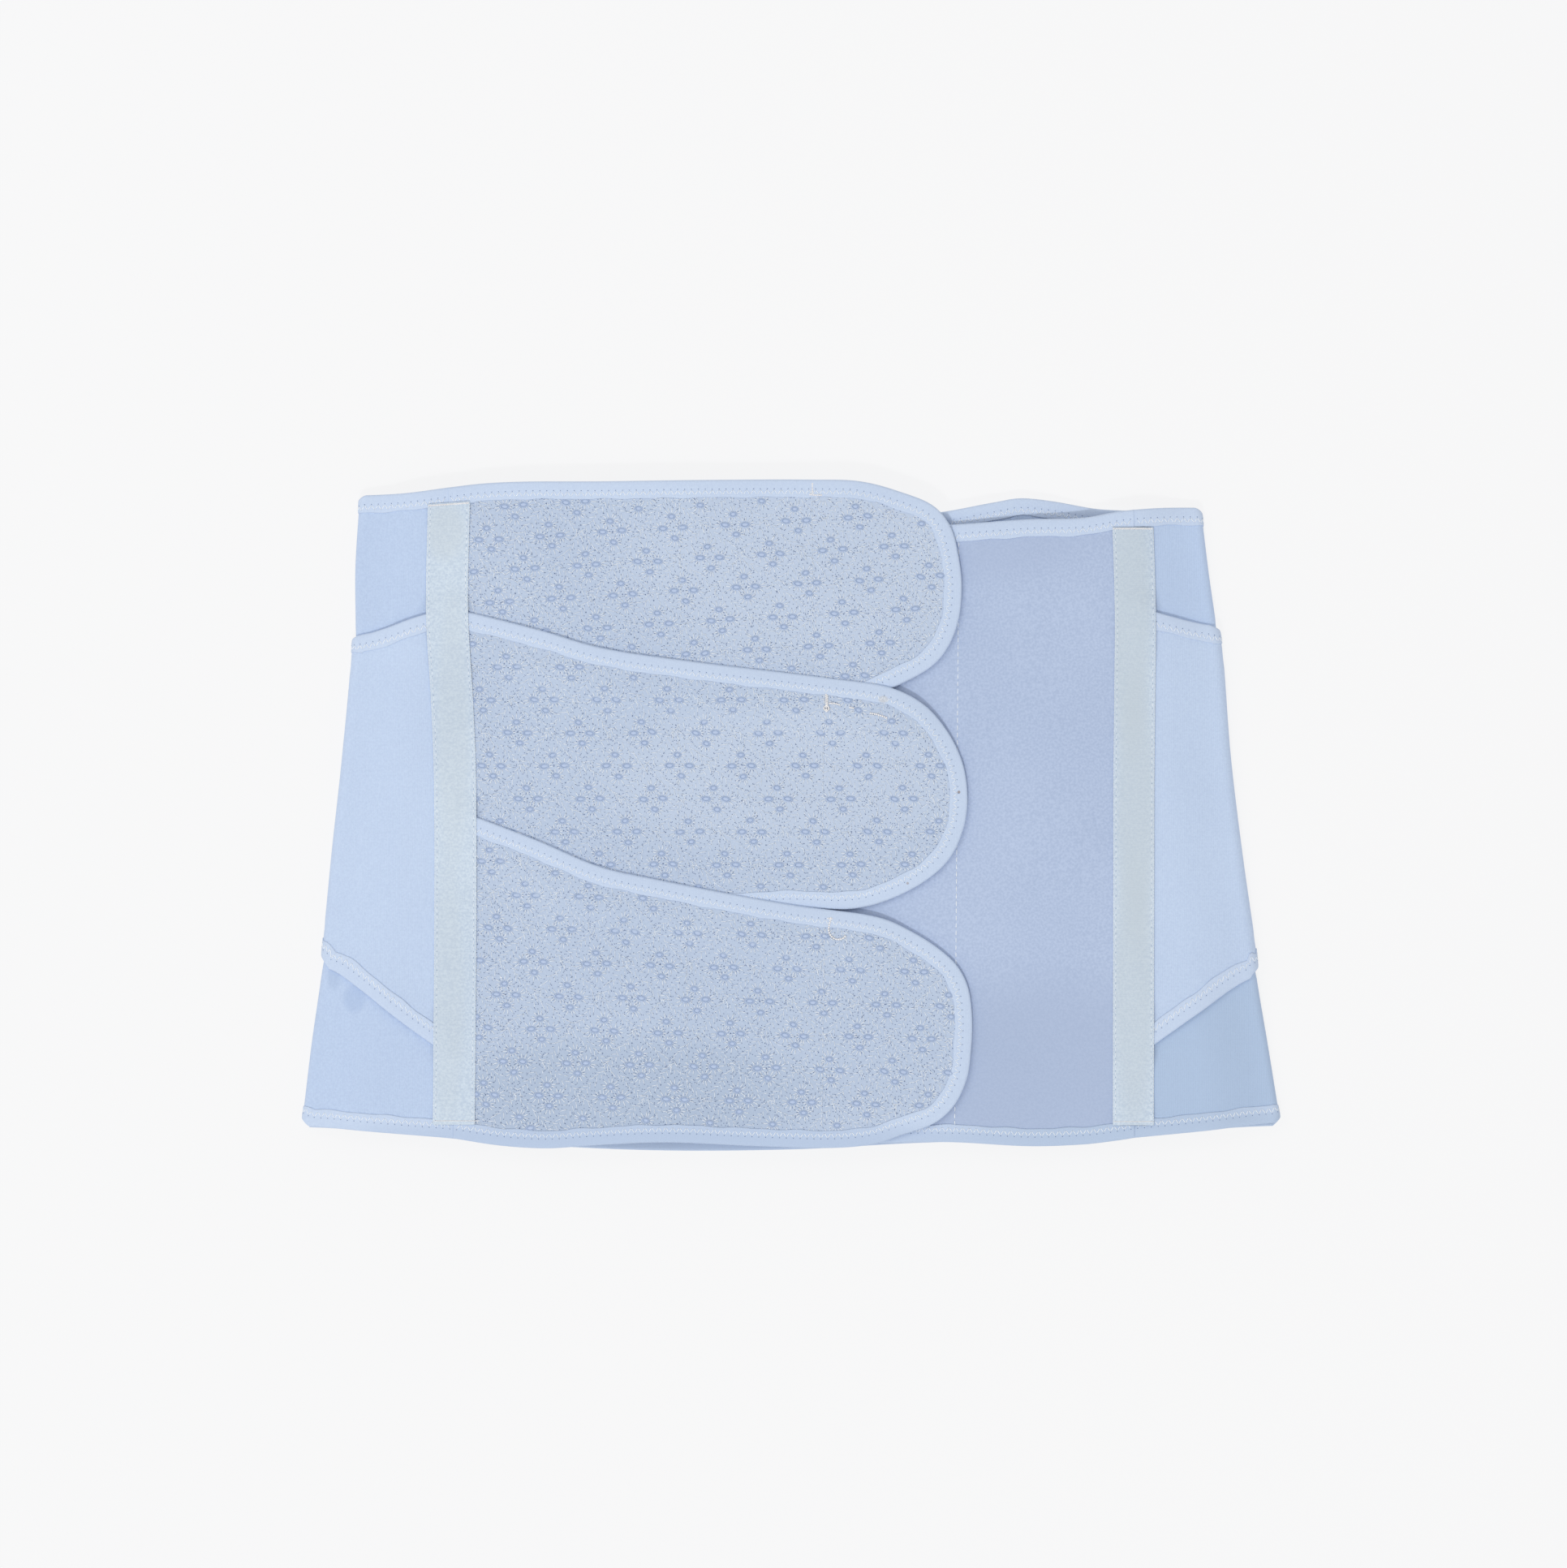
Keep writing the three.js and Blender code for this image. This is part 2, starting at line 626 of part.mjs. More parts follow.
const FINISHES = {
  knit: { color: 0xc4d7f0, roughness: 0.9, metalness: 0 },
  binding: { color: 0xc8dbf3, roughness: 0.9, metalness: 0 },
  embroidery: { color: 0xbecde2, roughness: 0.9, metalness: 0 },
  fleece: { color: 0xb2c2e0, roughness: 0.95, metalness: 0 },
  elastic: { color: 0xc8d8e2, roughness: 0.8, metalness: 0 },
  hook: { color: 0xc6d4e8, roughness: 0.7, metalness: 0 },
};

const binder = new THREE.Group();

function addPiece(name, finish, geometry) {
  const piece = new THREE.Mesh(facingOut(geometry), new THREE.MeshStandardMaterial(FINISHES[finish]));
  piece.name = name;
  binder.add(piece);
}

const onBody = () => 0;

addPiece("body_panel", "knit", wrappedCloth(bodyLevels, BODY_WALL, onBody));
addPiece("body_top_binding", "binding", wrappedBinding(BODY_HEMS, "high", BODY_WALL, onBody));
addPiece("body_bottom_binding", "binding", wrappedBinding(BODY_HEMS, "low", BODY_WALL, onBody));
addPiece("overlay_band", "knit", wrappedCloth(overlayLevels, OVERLAY_WALL, overlayOff));
addPiece("overlay_top_binding", "binding", wrappedBinding(OVERLAY_EDGES, "high", OVERLAY_WALL, overlayOff));
addPiece("overlay_bottom_binding", "binding", wrappedBinding(OVERLAY_EDGES, "low", OVERLAY_WALL, overlayOff));
addPiece("loop_panel", "fleece", loopPanel());
addPiece("loop_top_binding", "binding", loopBinding("high"));
addPiece("loop_bottom_binding", "binding", loopBinding("low"));
for (const flap of FLAPS) {
  addPiece(`${flap.name}_flap`, "embroidery", flapCloth(flap));
  addPiece(`${flap.name}_flap_binding`, "binding", flapBinding(flap));
  addPiece(`${flap.name}_hook_pad`, "hook", hookPad(flap));
}
addPiece("left_tape", "elastic", tape("left"));
addPiece("right_tape", "elastic", tape("right"));

// The origin is the middle of the resting outline, on the ground
const box = new THREE.Box3().setFromObject(binder);
binder.position.set(-(box.min.x + box.max.x) / 2, -(box.min.y + box.max.y) / 2, -box.min.z);

export default binder;
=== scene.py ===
"""An abdominal binder, closed and lying flat: cloth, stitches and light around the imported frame."""

import logging
import math
from collections.abc import Callable
from dataclasses import dataclass, field
from enum import Enum
from functools import partial

import bmesh
import bpy
import numpy as np
from mathutils import Matrix, Vector


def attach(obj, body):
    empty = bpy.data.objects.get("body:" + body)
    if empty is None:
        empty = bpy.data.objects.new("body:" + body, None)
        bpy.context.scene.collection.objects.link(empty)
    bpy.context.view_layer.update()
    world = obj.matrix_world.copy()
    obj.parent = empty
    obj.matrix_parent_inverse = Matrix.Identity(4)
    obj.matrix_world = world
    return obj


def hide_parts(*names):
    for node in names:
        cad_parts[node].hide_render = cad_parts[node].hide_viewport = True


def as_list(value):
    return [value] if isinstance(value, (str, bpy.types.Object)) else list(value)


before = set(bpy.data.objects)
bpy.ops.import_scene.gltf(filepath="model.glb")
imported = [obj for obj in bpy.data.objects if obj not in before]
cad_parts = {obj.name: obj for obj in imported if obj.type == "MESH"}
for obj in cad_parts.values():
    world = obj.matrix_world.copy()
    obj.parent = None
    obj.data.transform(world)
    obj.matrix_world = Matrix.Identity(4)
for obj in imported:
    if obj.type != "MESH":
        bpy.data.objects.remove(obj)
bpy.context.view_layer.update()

logging.basicConfig(level=logging.INFO, format="%(message)s")
LOG = logging.getLogger("binder")

Array = np.ndarray
Place = Callable[[Array, Array, Array], Array]

# Millimetres, as in the part's source
HIP_WIDTH = 455.0
HEIGHT = 312.0
FLAP_REACH = 242.0
LOOP_REACH = 207.0
TAPE_WIDTH = 20.0
BINDING_WIDTH = 8.3
GAP = 0.3
FRONT_LEVEL = 12.35
FOLD_ROUND = 5.6
SIDE_SLOPE = 30.0
DRAPE = 25.0
FLAP_LAP = 15.0
LAP_FALL = 18.0
LAP_FADE = 28.0
HOOK_INSET = 11.5
HOOK_START = 0.709
HOOK_END = 0.9
FLAP_RISE = 0.42
LEGS = 5
LEG_LENGTHS = (55.0, 8.8, 420.0, 8.8, 50.0)
FOLD_TUCK = 1.7
MOUTH_CURL = 7.6
MOUTH_START = 2.3
MOUTH_END = 3.0
MOUTH_RAMP = 0.3
CURL_RISE = 9.0
CURL_START = 7.6

# The steepest slope that a hem's width allows for, and the step that measures it
STEEPEST = 0.75
NUDGE = 0.02

# How the overlay band draws a side fold in at its edges and fills it out in its middle
SWELL_AT_EDGE = -0.2
SWELL_AT_MIDDLE = 0.7
SWELL_START = 3.0
SWELL_WIDTH = 18.0
SWELL_RAMP = 4.0

# How the overlay band rises beside the tapes, near its edges
PUFF = 0.9
PUFF_SPAN = 0.5
PUFF_FADE = 16.0

# How a flap's lap sags at its edge, and how its free rim droops
ROOT_END = 0.16
LAP_SAG = 0.55
SAG_WIDTH = 7.0
RIM_DROOP = 0.9
DROOP_WIDTH = 11.0
DROOP_SPAN = 0.55
DROOP_START = 0.3
SPINE_REACH = 1 - 3.2 / 17

# Cloth as it shows, a little thinner than the solids' walls
BODY_WALL = 1.0
OVERLAY_WALL = 0.9
FLAP_WALL = 1.4
LOOP_WALL = 1.6
HOOK_WALL = 1.3
TAPE_WALL = 0.6
BINDING_PLY = 0.42
BINDING_SLACK = 0.03
TOUCH = 0.1
SEAM = 0.02
THREAD_HEIGHT = 0.42
HOLE_DEPTH = 0.14
COVER_MARGIN = 3.0

# Steps of the wrap's cloths and hems, on each front, fold and back leg
CLOTH_STEPS = (26, 12, 104)
HEM_STEPS = (36, 12, 130)
CURVE_STEPS = 60
PACE_STEPS = 4000
WELD = 0.00002

SHEEN_ROUGH = 0.6
CLOTH_GLOSS = 0.15

HALF = HIP_WIDTH / 2
SLOT = BINDING_PLY + BINDING_SLACK + 0.15
ORIGIN = np.array([0.0568695, -156.0256197, 0.0])
METRE = 0.001
UP = np.array([0.0, 0.0, 1.0])

# The hems' columns in the tables, and what the pieces there are called
HEMS = {"high": "top", "low": "bottom"}

# An eyelet from its middle out: a sunk floor, a raised rim, and each part's painted shade, from 1 for none
# to 0 for the darkest at the rim's inner foot
DISH = {
    "share": [0, 1 / 6, 2 / 6, 3 / 6, 4 / 6, 5 / 6, 1],
    "radius": [0, 0.55, 0.86, 1.06, 1.26, 1.3, 0],
    "height": [0.2, 0.15, 0.05, 0.8, 0.55, -0.4, -0.4],
    "painted_lightness": [1, 0.9, 0.0, 0.45, 1, 1, 1],
}

# The photo's own scale, for detail that is placed by the photo's pixels
PIXELS_PER_MM = 2.65
PHOTO_CENTRE = (975.0, 1003.9)

# An eyelet cluster's ovals, in the photo's pixels: how far across and down, half their width and height
OVALS = ((-12.0, 0.3, 5.0, 2.6), (12.0, 0.3, 5.0, 2.6), (0.0, -13.2, 3.9, 2.6), (0.0, 13.2, 4.0, 2.6))

# A folded binding's face, from its inner edge to the fold, and the fold's middle and depth
BINDING_FACE = {
    "inset": [8.2, 7.8, 7.2, 6.3, 5.4, 4.6, 4.0, 3.2, 2.3],
    "puff": [-0.15, -0.04, 0.0, -0.04, -0.04, 0.0, 0.06, 0.1, 0.06],
}
TURN_MIDDLE = 1.2
TURN_DEPTH = 0.97
UNEVEN = ((0.2, 4.1, 0.0), (0.16, 2.3, 1.0))

# Soft waves of the whole front: length, heading in degrees, phase and height
WAVES = (
    (71.0, 12.0, 0.3, 0.26),
    (113.0, 100.0, 1.7, 0.34),
    (52.0, 64.0, 4.1, 0.18),
    (150.0, 150.0, 2.2, 0.34),
)

# Tables of shares: of half the hip width, the height or a panel's reach
FOLDS = {
    "up": [0.045, 0.16, 0.25, 0.311, 0.449, 0.59, 0.75, 0.865, 0.962],
    "left": [0.997, 0.978, 0.96, 0.948, 0.929, 0.908, 0.889, 0.889, 0.881],
    "right": [0.9965, 0.971, 0.95, 0.938, 0.911, 0.888, 0.871, 0.85, 0.834],
}
TAPES = {
    "up": [0.038, 0.337, 0.553, 0.667, 0.806, 0.963],
    "left": [-0.69, -0.6867, -0.6875, -0.6933, -0.7036, -0.7],
    "right": [0.6996, 0.7004, 0.7008, 0.7024, 0.7035, 0.6975],
}
BODY_HEMS = {
    "at": [0, 0.5, 1, 1.5, 2, 2.2, 2.35, 2.5, 2.62, 2.68, 2.76, 2.79, 2.83, 2.89, 3, 3.5, 4, 4.5, 5],
    "low": [
        0.0186, 0.0272, 0.036, 0.04, 0.034, 0.011, 0, 0.001, 0.01, 0.013,
        0.016, 0.017, 0.02, 0.026, 0.036, 0.0415, 0.041, 0.0295, 0.0195,
    ],
    "high": [
        0.987, 0.979, 0.976, 0.9755, 0.975, 0.9725, 0.97, 0.963, 0.953, 0.949,
        0.9655, 0.9715, 0.967, 0.955, 0.9535, 0.957, 0.9575, 0.957, 0.954,
    ],
}
OVERLAY_EDGES = {
    "at": [0, 0.4, 0.75, 1, 1.5, 2, 2.5, 3, 3.5, 4, 4.5, 5],
    "low": [0.136, 0.192, 0.242, 0.27, 0.284, 0.296, 0.337, 0.28, 0.267, 0.2555, 0.2015, 0.138],
    "high": [0.808, 0.793, 0.777, 0.769, 0.768, 0.762, 0.721, 0.775, 0.781, 0.783, 0.795, 0.811],
}
LOOP_HEMS = {
    "along": [0, 0.038, 0.116, 0.237, 0.41, 0.583, 0.78, 1],
    "low": [0.0195, 0.0155, 0.0095, 0.007, 0.013, 0.012, 0.016, 0.018],
    "high": [0.954, 0.951, 0.942, 0.94, 0.932, 0.929, 0.925, 0.923],
}
UPPER_TOP = {
    "along": [0, 0.064, 0.136, 0.292, 0.49, 0.689, 0.789, 0.864, 0.931, 0.964, 0.983, 0.988],
    "up": [0.987, 0.9928, 0.9955, 0.996, 0.998, 0.9985, 0.996, 0.981, 0.959, 0.928, 0.875, 0.836],
}
UPPER_BOTTOM = {
    "along": [0, 0.174, 0.288, 0.484, 0.66, 0.769, 0.848, 0.925, 0.957, 0.98, 0.988],
    "up": [0.765, 0.73, 0.705, 0.682, 0.663, 0.666, 0.689, 0.721, 0.748, 0.787, 0.836],
}
MIDDLE_TOP = {
    "along": [0, 0.177, 0.291, 0.488, 0.711, 0.848, 0.907, 0.945, 0.968, 0.979, 0.983],
    "up": [0.81, 0.775, 0.749, 0.726, 0.705, 0.688, 0.663, 0.628, 0.593, 0.563, 0.517],
}
MIDDLE_BOTTOM = {
    "along": [0, 0.152, 0.279, 0.382, 0.477, 0.63, 0.76, 0.822, 0.9, 0.947, 0.974, 0.983],
    "up": [0.465, 0.419, 0.38, 0.363, 0.355, 0.361, 0.36, 0.371, 0.401, 0.434, 0.477, 0.517],
}
LOWER_TOP = {
    "along": [0, 0.152, 0.279, 0.382, 0.641, 0.817, 0.873, 0.925, 0.963, 0.984, 0.993],
    "up": [0.509, 0.464, 0.423, 0.405, 0.367, 0.347, 0.328, 0.303, 0.276, 0.245, 0.197],
}
LOWER_BOTTOM = {
    "along": [0, 0.09, 0.181, 0.26, 0.4, 0.597, 0.736, 0.808, 0.859, 0.923, 0.96, 0.984, 0.991, 0.993],
    "up": [
        0.0186, 0.008, 0.004, 0.008, 0.013, 0.007, 0.005,
        0.011, 0.024, 0.042, 0.068, 0.108, 0.145, 0.197,
    ],
}


class Side(Enum):
    """The binder's two sides in the photo, by their columns in the tables."""

    LEFT = "left"
    RIGHT = "right"


def smooth(t: Array) -> Array:
    """Ease from 0 to 1.

    Args:
        t: Shares, of any size.

    Returns:
        Eased shares within 0 and 1.
    """
    t = np.clip(t, 0.0, 1.0)
    return t * t * (3 - 2 * t)


def mix(a: Array, b: Array, t: Array) -> Array:
    """Return the value a share t of the way from a to b."""
    return a + (b - a) * t


def half_binding(wall: float) -> float:
    """Return the distance from a cloth's middle to its binding's face."""
    return wall / 2 + BINDING_SLACK + BINDING_PLY


OVERLAY_OUT = BODY_WALL / 2 + TOUCH + half_binding(OVERLAY_WALL)
OVERLAY_NEAR = BODY_WALL / 2 + TOUCH + OVERLAY_WALL / 2
HEM_LEVEL = half_binding(BODY_WALL) + 0.15
BAND_LEVEL = OVERLAY_OUT + half_binding(OVERLAY_WALL) + 0.15
FLAP_LEVEL = 16.2
LAP_LIFT = 2 * half_binding(FLAP_WALL) + 0.3
ROOT_LIFT = 1.2


def spline(table: dict[str, list[float]], key: str, at: Array, column: str) -> Array:
    """Read a table smoothly between its rows.

    Args:
        table: Columns of shares.
        key: The column that is looked up.
        at: Where to read it.
        column: The column that is read.

    Returns:
        The values there.
    """
    keys = np.array(table[key], float)
    values = np.array(table[column], float)
    at = np.asarray(at, float)
    last = len(keys) - 1
    i = np.clip(np.searchsorted(keys, at, side="right") - 1, 0, last - 1)
    before = np.maximum(np.arange(last + 1) - 1, 0)
    after = np.minimum(np.arange(last + 1) + 1, last)
    slope = (values[after] - values[before]) / (keys[after] - keys[before])
    span = keys[i + 1] - keys[i]
    t = np.clip((at - keys[i]) / span, 0, 1)
    bend = slope[i] * span * t * (1 - t) ** 2 - slope[i + 1] * span * t * t * (1 - t)
    return mix(values[i], values[i + 1], smooth(t)) + bend


def plateau(y: Array, low: Array, high: Array, ramp: float) -> Array:
    """Return 1 between low and high, and 0 beyond them by the ramp's width."""
    return smooth(1 - np.maximum(np.maximum(low - y, y - high), 0) / ramp)


def fold_x(side: Side, y: Array) -> Array:
    """Return how far a side fold lies from the middle, drawn in under the overlay band's edges.

    Args:
        side: Which side.
        y: Heights up the binder.

    Returns:
        Distances from the middle.
    """
    at = 1.5 if side is Side.LEFT else 3.5
    low, high = (hem_y(OVERLAY_EDGES, at, column) for column in ("low", "high"))
    inside = smooth((np.minimum(y - low, high - y) - SWELL_START) / SWELL_WIDTH)
    swell = mix(SWELL_AT_EDGE, SWELL_AT_MIDDLE, inside) * plateau(y, low, high, SWELL_RAMP)
    return HALF * spline(FOLDS, "up", y / HEIGHT, side.value) + swell


def tape_x(side: Side, y: Array) -> Array:
    """Return a tape's middle line."""
    return HALF * spline(TAPES, "up", y / HEIGHT, side.value)


def hem_y(table: dict[str, list[float]], at: Array, column: str) -> Array:
    """Return an edge's height up the binder at a place round the wrap."""
    return HEIGHT * spline(table, "at", at, column)


def rim_y(table: dict[str, list[float]], at: Array, column: str, inset: Array | float) -> Array:
    """Return heights a way in from an edge, which draws in where it turns a side fold.

    Args:
        table: The edge's table.
        at: Places round the wrap.
        column: Which edge, low or high.
        inset: Distances in from it, at a right angle to it.

    Returns:
        Heights up the binder.
    """
    at = np.asarray(at, float)
    leg = np.minimum(LEGS - 1, np.floor(at)).astype(int)
    slope = (hem_y(table, at + NUDGE, column) - hem_y(table, at - NUDGE, column)) / (2 * NUDGE)
    slope = np.minimum(np.abs(slope) / np.array(LEG_LENGTHS)[leg], STEEPEST)
    tuck = FOLD_TUCK * np.where(leg % 2 == 1, np.sin(math.pi * (at - leg)) ** 2, 0.0)
    tuck = tuck * (1 - smooth(np.asarray(inset) / BINDING_WIDTH))
    away = tuck + inset * np.sqrt(1 + slope * slope)
    return hem_y(table, at, column) + (away if column == "low" else -away)


def ripple(x: Array, y: Array) -> Array:
    """Return the soft waves that the whole front shares, so that its layers keep their gaps.

    Args:
        x: Places across the binder.
        y: Heights up the binder.

    Returns:
        Heights of the waves.
    """
    total = np.zeros(np.broadcast(x, y).shape)
    for length, degrees, phase, height in WAVES:
        turn = math.radians(degrees)
        total += height * np.sin((x * math.cos(turn) + y * math.sin(turn)) / length * 2 * math.pi + phase)
    return total


def headings(turn: Array) -> Array:
    """Return directions of length 1 at angles."""
    return np.stack([np.cos(turn), np.sin(turn)], axis=-1)


def distances(points: Array) -> Array:
    """Return how far along a line each of its points is."""
    return np.concatenate([[0], np.cumsum(np.linalg.norm(np.diff(points, axis=0), axis=1))])


def from_photo(px: Array, py: Array) -> tuple[Array, Array]:
    """Turn a place in the photo, in its pixels, into millimetres of the part's source.

    Args:
        px: Columns of the photo.
        py: Rows of the photo.

    Returns:
        Places across and heights up.
    """
    x = (np.asarray(px, float) - PHOTO_CENTRE[0]) / PIXELS_PER_MM - ORIGIN[0]
    y = (PHOTO_CENTRE[1] - np.asarray(py, float)) / PIXELS_PER_MM - ORIGIN[1]
    return x, y


class Wrap:
    """The form of the cloth wrapped from the left tape round the back to the right tape."""

    def point(self, at: Array, y: Array, off: Array) -> Array:
        """Find points of the wrap.

        Args:
            at: Place round the wrap, from 0 at the left tape to 5 at the right one.
            y: Height up the binder.
            off: Distance outside the middle of the body's wall.

        Returns:
            Points, one a row.
        """
        at, y, off = np.broadcast_arrays(*(np.asarray(values, float) for values in (at, y, off)))
        low = hem_y(OVERLAY_EDGES, at, "low")
        high = hem_y(OVERLAY_EDGES, at, "high")
        curl = MOUTH_CURL * smooth((at - MOUTH_START) / MOUTH_RAMP) * smooth((MOUTH_END - at) / MOUTH_RAMP)
        curl = curl * smooth(y / HEIGHT * CURL_RISE - CURL_START)
        back = mix(HEM_LEVEL, BAND_LEVEL, plateau(y, low, high, DRAPE)) + curl
        leg = np.minimum(LEGS - 1, np.floor(at))
        left = leg < 2
        sign = np.where(left, -1.0, 1.0)
        r = FOLD_ROUND / 2
        round_x = np.where(left, fold_x(Side.LEFT, y), fold_x(Side.RIGHT, y)) - r
        t = at - leg
        share = np.where(left, t, 1 - t)
        turn = math.pi * share
        seam = np.where(left, np.abs(tape_x(Side.LEFT, y)), tape_x(Side.RIGHT, y)) - SEAM
        reach = mix(seam, round_x, share)
        rise = smooth((round_x - reach) / SIDE_SLOPE)
        front = mix(back + FOLD_ROUND, FRONT_LEVEL + ripple(sign * reach, y), rise)
        is_back = leg == 2
        is_fold = (leg == 1) | (leg == 3)
        back_x = mix(r - fold_x(Side.LEFT, y), fold_x(Side.RIGHT, y) - r, t)
        x = np.where(is_back, back_x, sign * np.where(is_fold, round_x + (r + off) * np.sin(turn), reach))
        fold_z = back + r + (r + off) * np.cos(turn)
        z = np.where(is_back, back - off, np.where(is_fold, fold_z, front + off))
        return np.stack([x, y, z], axis=-1)

    def overlay_off(self, at: Array, y: Array) -> Array:
        """Return how far the overlay band's middle is from the body's, more where it is bound.

        Args:
            at: Places round the wrap.
            y: Heights up the binder.

        Returns:
            Distances between the two middles.
        """
        low = hem_y(OVERLAY_EDGES, at, "low")
        high = hem_y(OVERLAY_EDGES, at, "high")
        edge = np.minimum(y - low, high - y)
        bound = mix(OVERLAY_OUT, OVERLAY_NEAR, smooth((edge - BINDING_WIDTH) / BINDING_WIDTH))
        left = smooth(at / PUFF_SPAN) * smooth((1.0 - at) / PUFF_SPAN)
        right = smooth((5.0 - at) / PUFF_SPAN) * smooth((at - 4.0) / PUFF_SPAN)
        return bound + PUFF * (left + right) * (1 - smooth((edge - BINDING_WIDTH) / PUFF_FADE))

    @staticmethod
    def stations(front: int, fold: int, back: int) -> Array:
        """Return places round the wrap, with a number of steps for each kind of leg.

        Args:
            front: Steps of each front leg.
            fold: Steps of each fold.
            back: Steps of the back.

        Returns:
            The places.
        """
        counts = [front, fold, back, fold, front]
        legs = [leg + np.linspace(0, 1, count, endpoint=False) for leg, count in enumerate(counts)]
        return np.append(np.concatenate(legs), float(LEGS))


def curve_through(points: Array, count: int) -> Array:
    """Draw an even line of points along a centripetal curve.

    Args:
        points: The points that the curve goes through.
        count: How many steps the line has.

    Returns:
        Points at equal distances, one more than the steps.
    """
    ends = [2 * points[0] - points[1], *points, 2 * points[-1] - points[-2]]
    fine = []
    for a, b, c, d in zip(ends, ends[1:], ends[2:], ends[3:]):
        ab, bc, cd = (math.sqrt(np.linalg.norm(q - p)) for p, q in ((a, b), (b, c), (c, d)))
        start = ((b - a) / ab - (c - a) / (ab + bc) + (c - b) / bc) * bc
        stop = ((c - b) / bc - (d - b) / (bc + cd) + (d - c) / cd) * bc
        square = 3 * (c - b) - 2 * start - stop
        cube = 2 * (b - c) + start + stop
        t = np.linspace(0, 1, CURVE_STEPS, endpoint=False)[:, None]
        fine.append(b + start * t + square * t**2 + cube * t**3)
    fine = np.vstack([*fine, points[-1][None]])
    run = distances(fine)
    target = np.linspace(0, run[-1], count + 1)
    return np.stack([np.interp(target, run, fine[:, k]) for k in range(fine.shape[1])], axis=-1)


@dataclass(frozen=True)
class Lattice:
    """Where a flap's eyelet clusters stand, in the photo's pixels."""

    start: tuple[float, float]
    across: tuple[float, float]
    down: tuple[float, float]


@dataclass
class Flap:
    """One embroidered flap, from the left tape to its round tip.

    Its cut size, in metres, is not used. The columns of its two stitch lines are in the photo's pixels, head
    and foot.
    """

    name: str
    top: dict[str, list[float]]
    bottom: dict[str, list[float]]
    lap_end: float | None
    flat: tuple[float, float]
    columns: tuple[tuple[float, float], ...]
    lattice: Lattice
    steps: int = 340
    line: Array = field(init=False)
    inward: Array = field(init=False)

    def __post_init__(self) -> None:
        """Draw the outline from the root's foot round the tip to the root's head."""
        along = np.array([*self.bottom["along"], *self.top["along"][-2::-1]])
        y = HEIGHT * np.array([*self.bottom["up"], *self.top["up"][-2::-1]])
        x = tape_x(Side.LEFT, y) + np.where(along == 0, -SEAM, GAP / 2) + along * FLAP_REACH
        self.line = curve_through(np.stack([x, y], axis=-1), self.steps)
        heading = np.gradient(self.line, axis=0)
        heading /= np.linalg.norm(heading, axis=1, keepdims=True)
        self.inward = np.stack([-heading[:, 1], heading[:, 0]], axis=-1)
        self.inward[0] = (0, 1)
        self.inward[-1] = (0, -1)

    def level(self, x: Array, y: Array) -> Array:
        """Return the height of the flap's middle, ripples included.

        Args:
            x: Places across the binder.
            y: Heights up the binder.

        Returns:
            Heights of its middle.
        """
        along = (x - tape_x(Side.LEFT, y)) / FLAP_REACH
        rest = mix(FRONT_LEVEL, FLAP_LEVEL, smooth(along / FLAP_RISE)) + ripple(x, y)
        if self.lap_end is None:
            return rest
        below = HEIGHT * spline(self.top, "along", along, "up") - y
        lap = 1 - smooth((below - FLAP_LAP) / LAP_FALL)
        fade = 1 - smooth((along - self.lap_end) * FLAP_REACH / LAP_FADE)
        sag = LAP_SAG * (1 - smooth(below / SAG_WIDTH)) * smooth(along / ROOT_END)
        return rest + (mix(ROOT_LIFT, LAP_LIFT, smooth(along / ROOT_END)) - sag) * lap * fade

    def inset(self, k: Array, by: Array) -> Array:
        """Return points in from the outline, at fractional steps k along it.

        Args:
            k: Steps along the outline.
            by: Distances in from it.

        Returns:
            Points, one a row.
        """
        index = np.arange(len(self.line))
        x, y = (np.interp(k, index, column) for column in self.line.T)
        inward_x, inward_y = (np.interp(k, index, column) for column in self.inward.T)
        return np.stack([x + by * inward_x, y + by * inward_y], axis=-1)

    def on_top(self, x: Array, y: Array, off: Array) -> Array:
        """Return points off the flap's middle over x and y."""
        return np.stack(np.broadcast_arrays(x, y, self.level(x, y) - self.droop(x, y) + off), axis=-1)

    def droop(self, x: Array, y: Array) -> Array:
        """Return how far the flap's free rim sinks towards the panel under it.

        Args:
            x: Places across the binder.
            y: Heights up the binder.

        Returns:
            How far it sinks there.
        """
        shape = np.shape(x)
        x, y = np.ravel(x), np.ravel(y)
        ring = self.line[:: max(1, self.steps // 150)]
        away = np.full(len(x), 1e9)
        for block in np.array_split(np.arange(len(x)), max(1, len(x) // 4000)):
            dx = x[block, None] - ring[:, 0]
            dy = y[block, None] - ring[:, 1]
            away[block] = np.sqrt((dx * dx + dy * dy).min(axis=1))
        share = smooth((x - tape_x(Side.LEFT, y)) / FLAP_REACH / DROOP_SPAN - DROOP_START)
        return (RIM_DROOP * share * (1 - smooth(away / DROOP_WIDTH))).reshape(shape)

    def cloth_place(self, k: Array, ring: Array, off: Array) -> Array:
        """Place the cloth: rings that run in from the outline (0) to the middle line (1).

        Args:
            k: Steps along the outline.
            ring: Shares of the way in.
            off: Distances off the middle of the wall.

        Returns:
            Points, one a row.
        """
        reach = np.minimum(k, self.steps - k) * SPINE_REACH
        spine = (self.inset(reach, BINDING_WIDTH) + self.inset(self.steps - reach, BINDING_WIDTH)) / 2
        flat = mix(self.inset(k, SLOT), spine, ring[:, None])
        return self.on_top(flat[:, 0], flat[:, 1], off)

    def binding_place(self, k: Array, inset: Array, off: Array) -> Array:
        """Place the binding by steps along the outline and the distance in from it."""
        flat = self.inset(k, inset)
        return self.on_top(flat[:, 0], flat[:, 1], off)

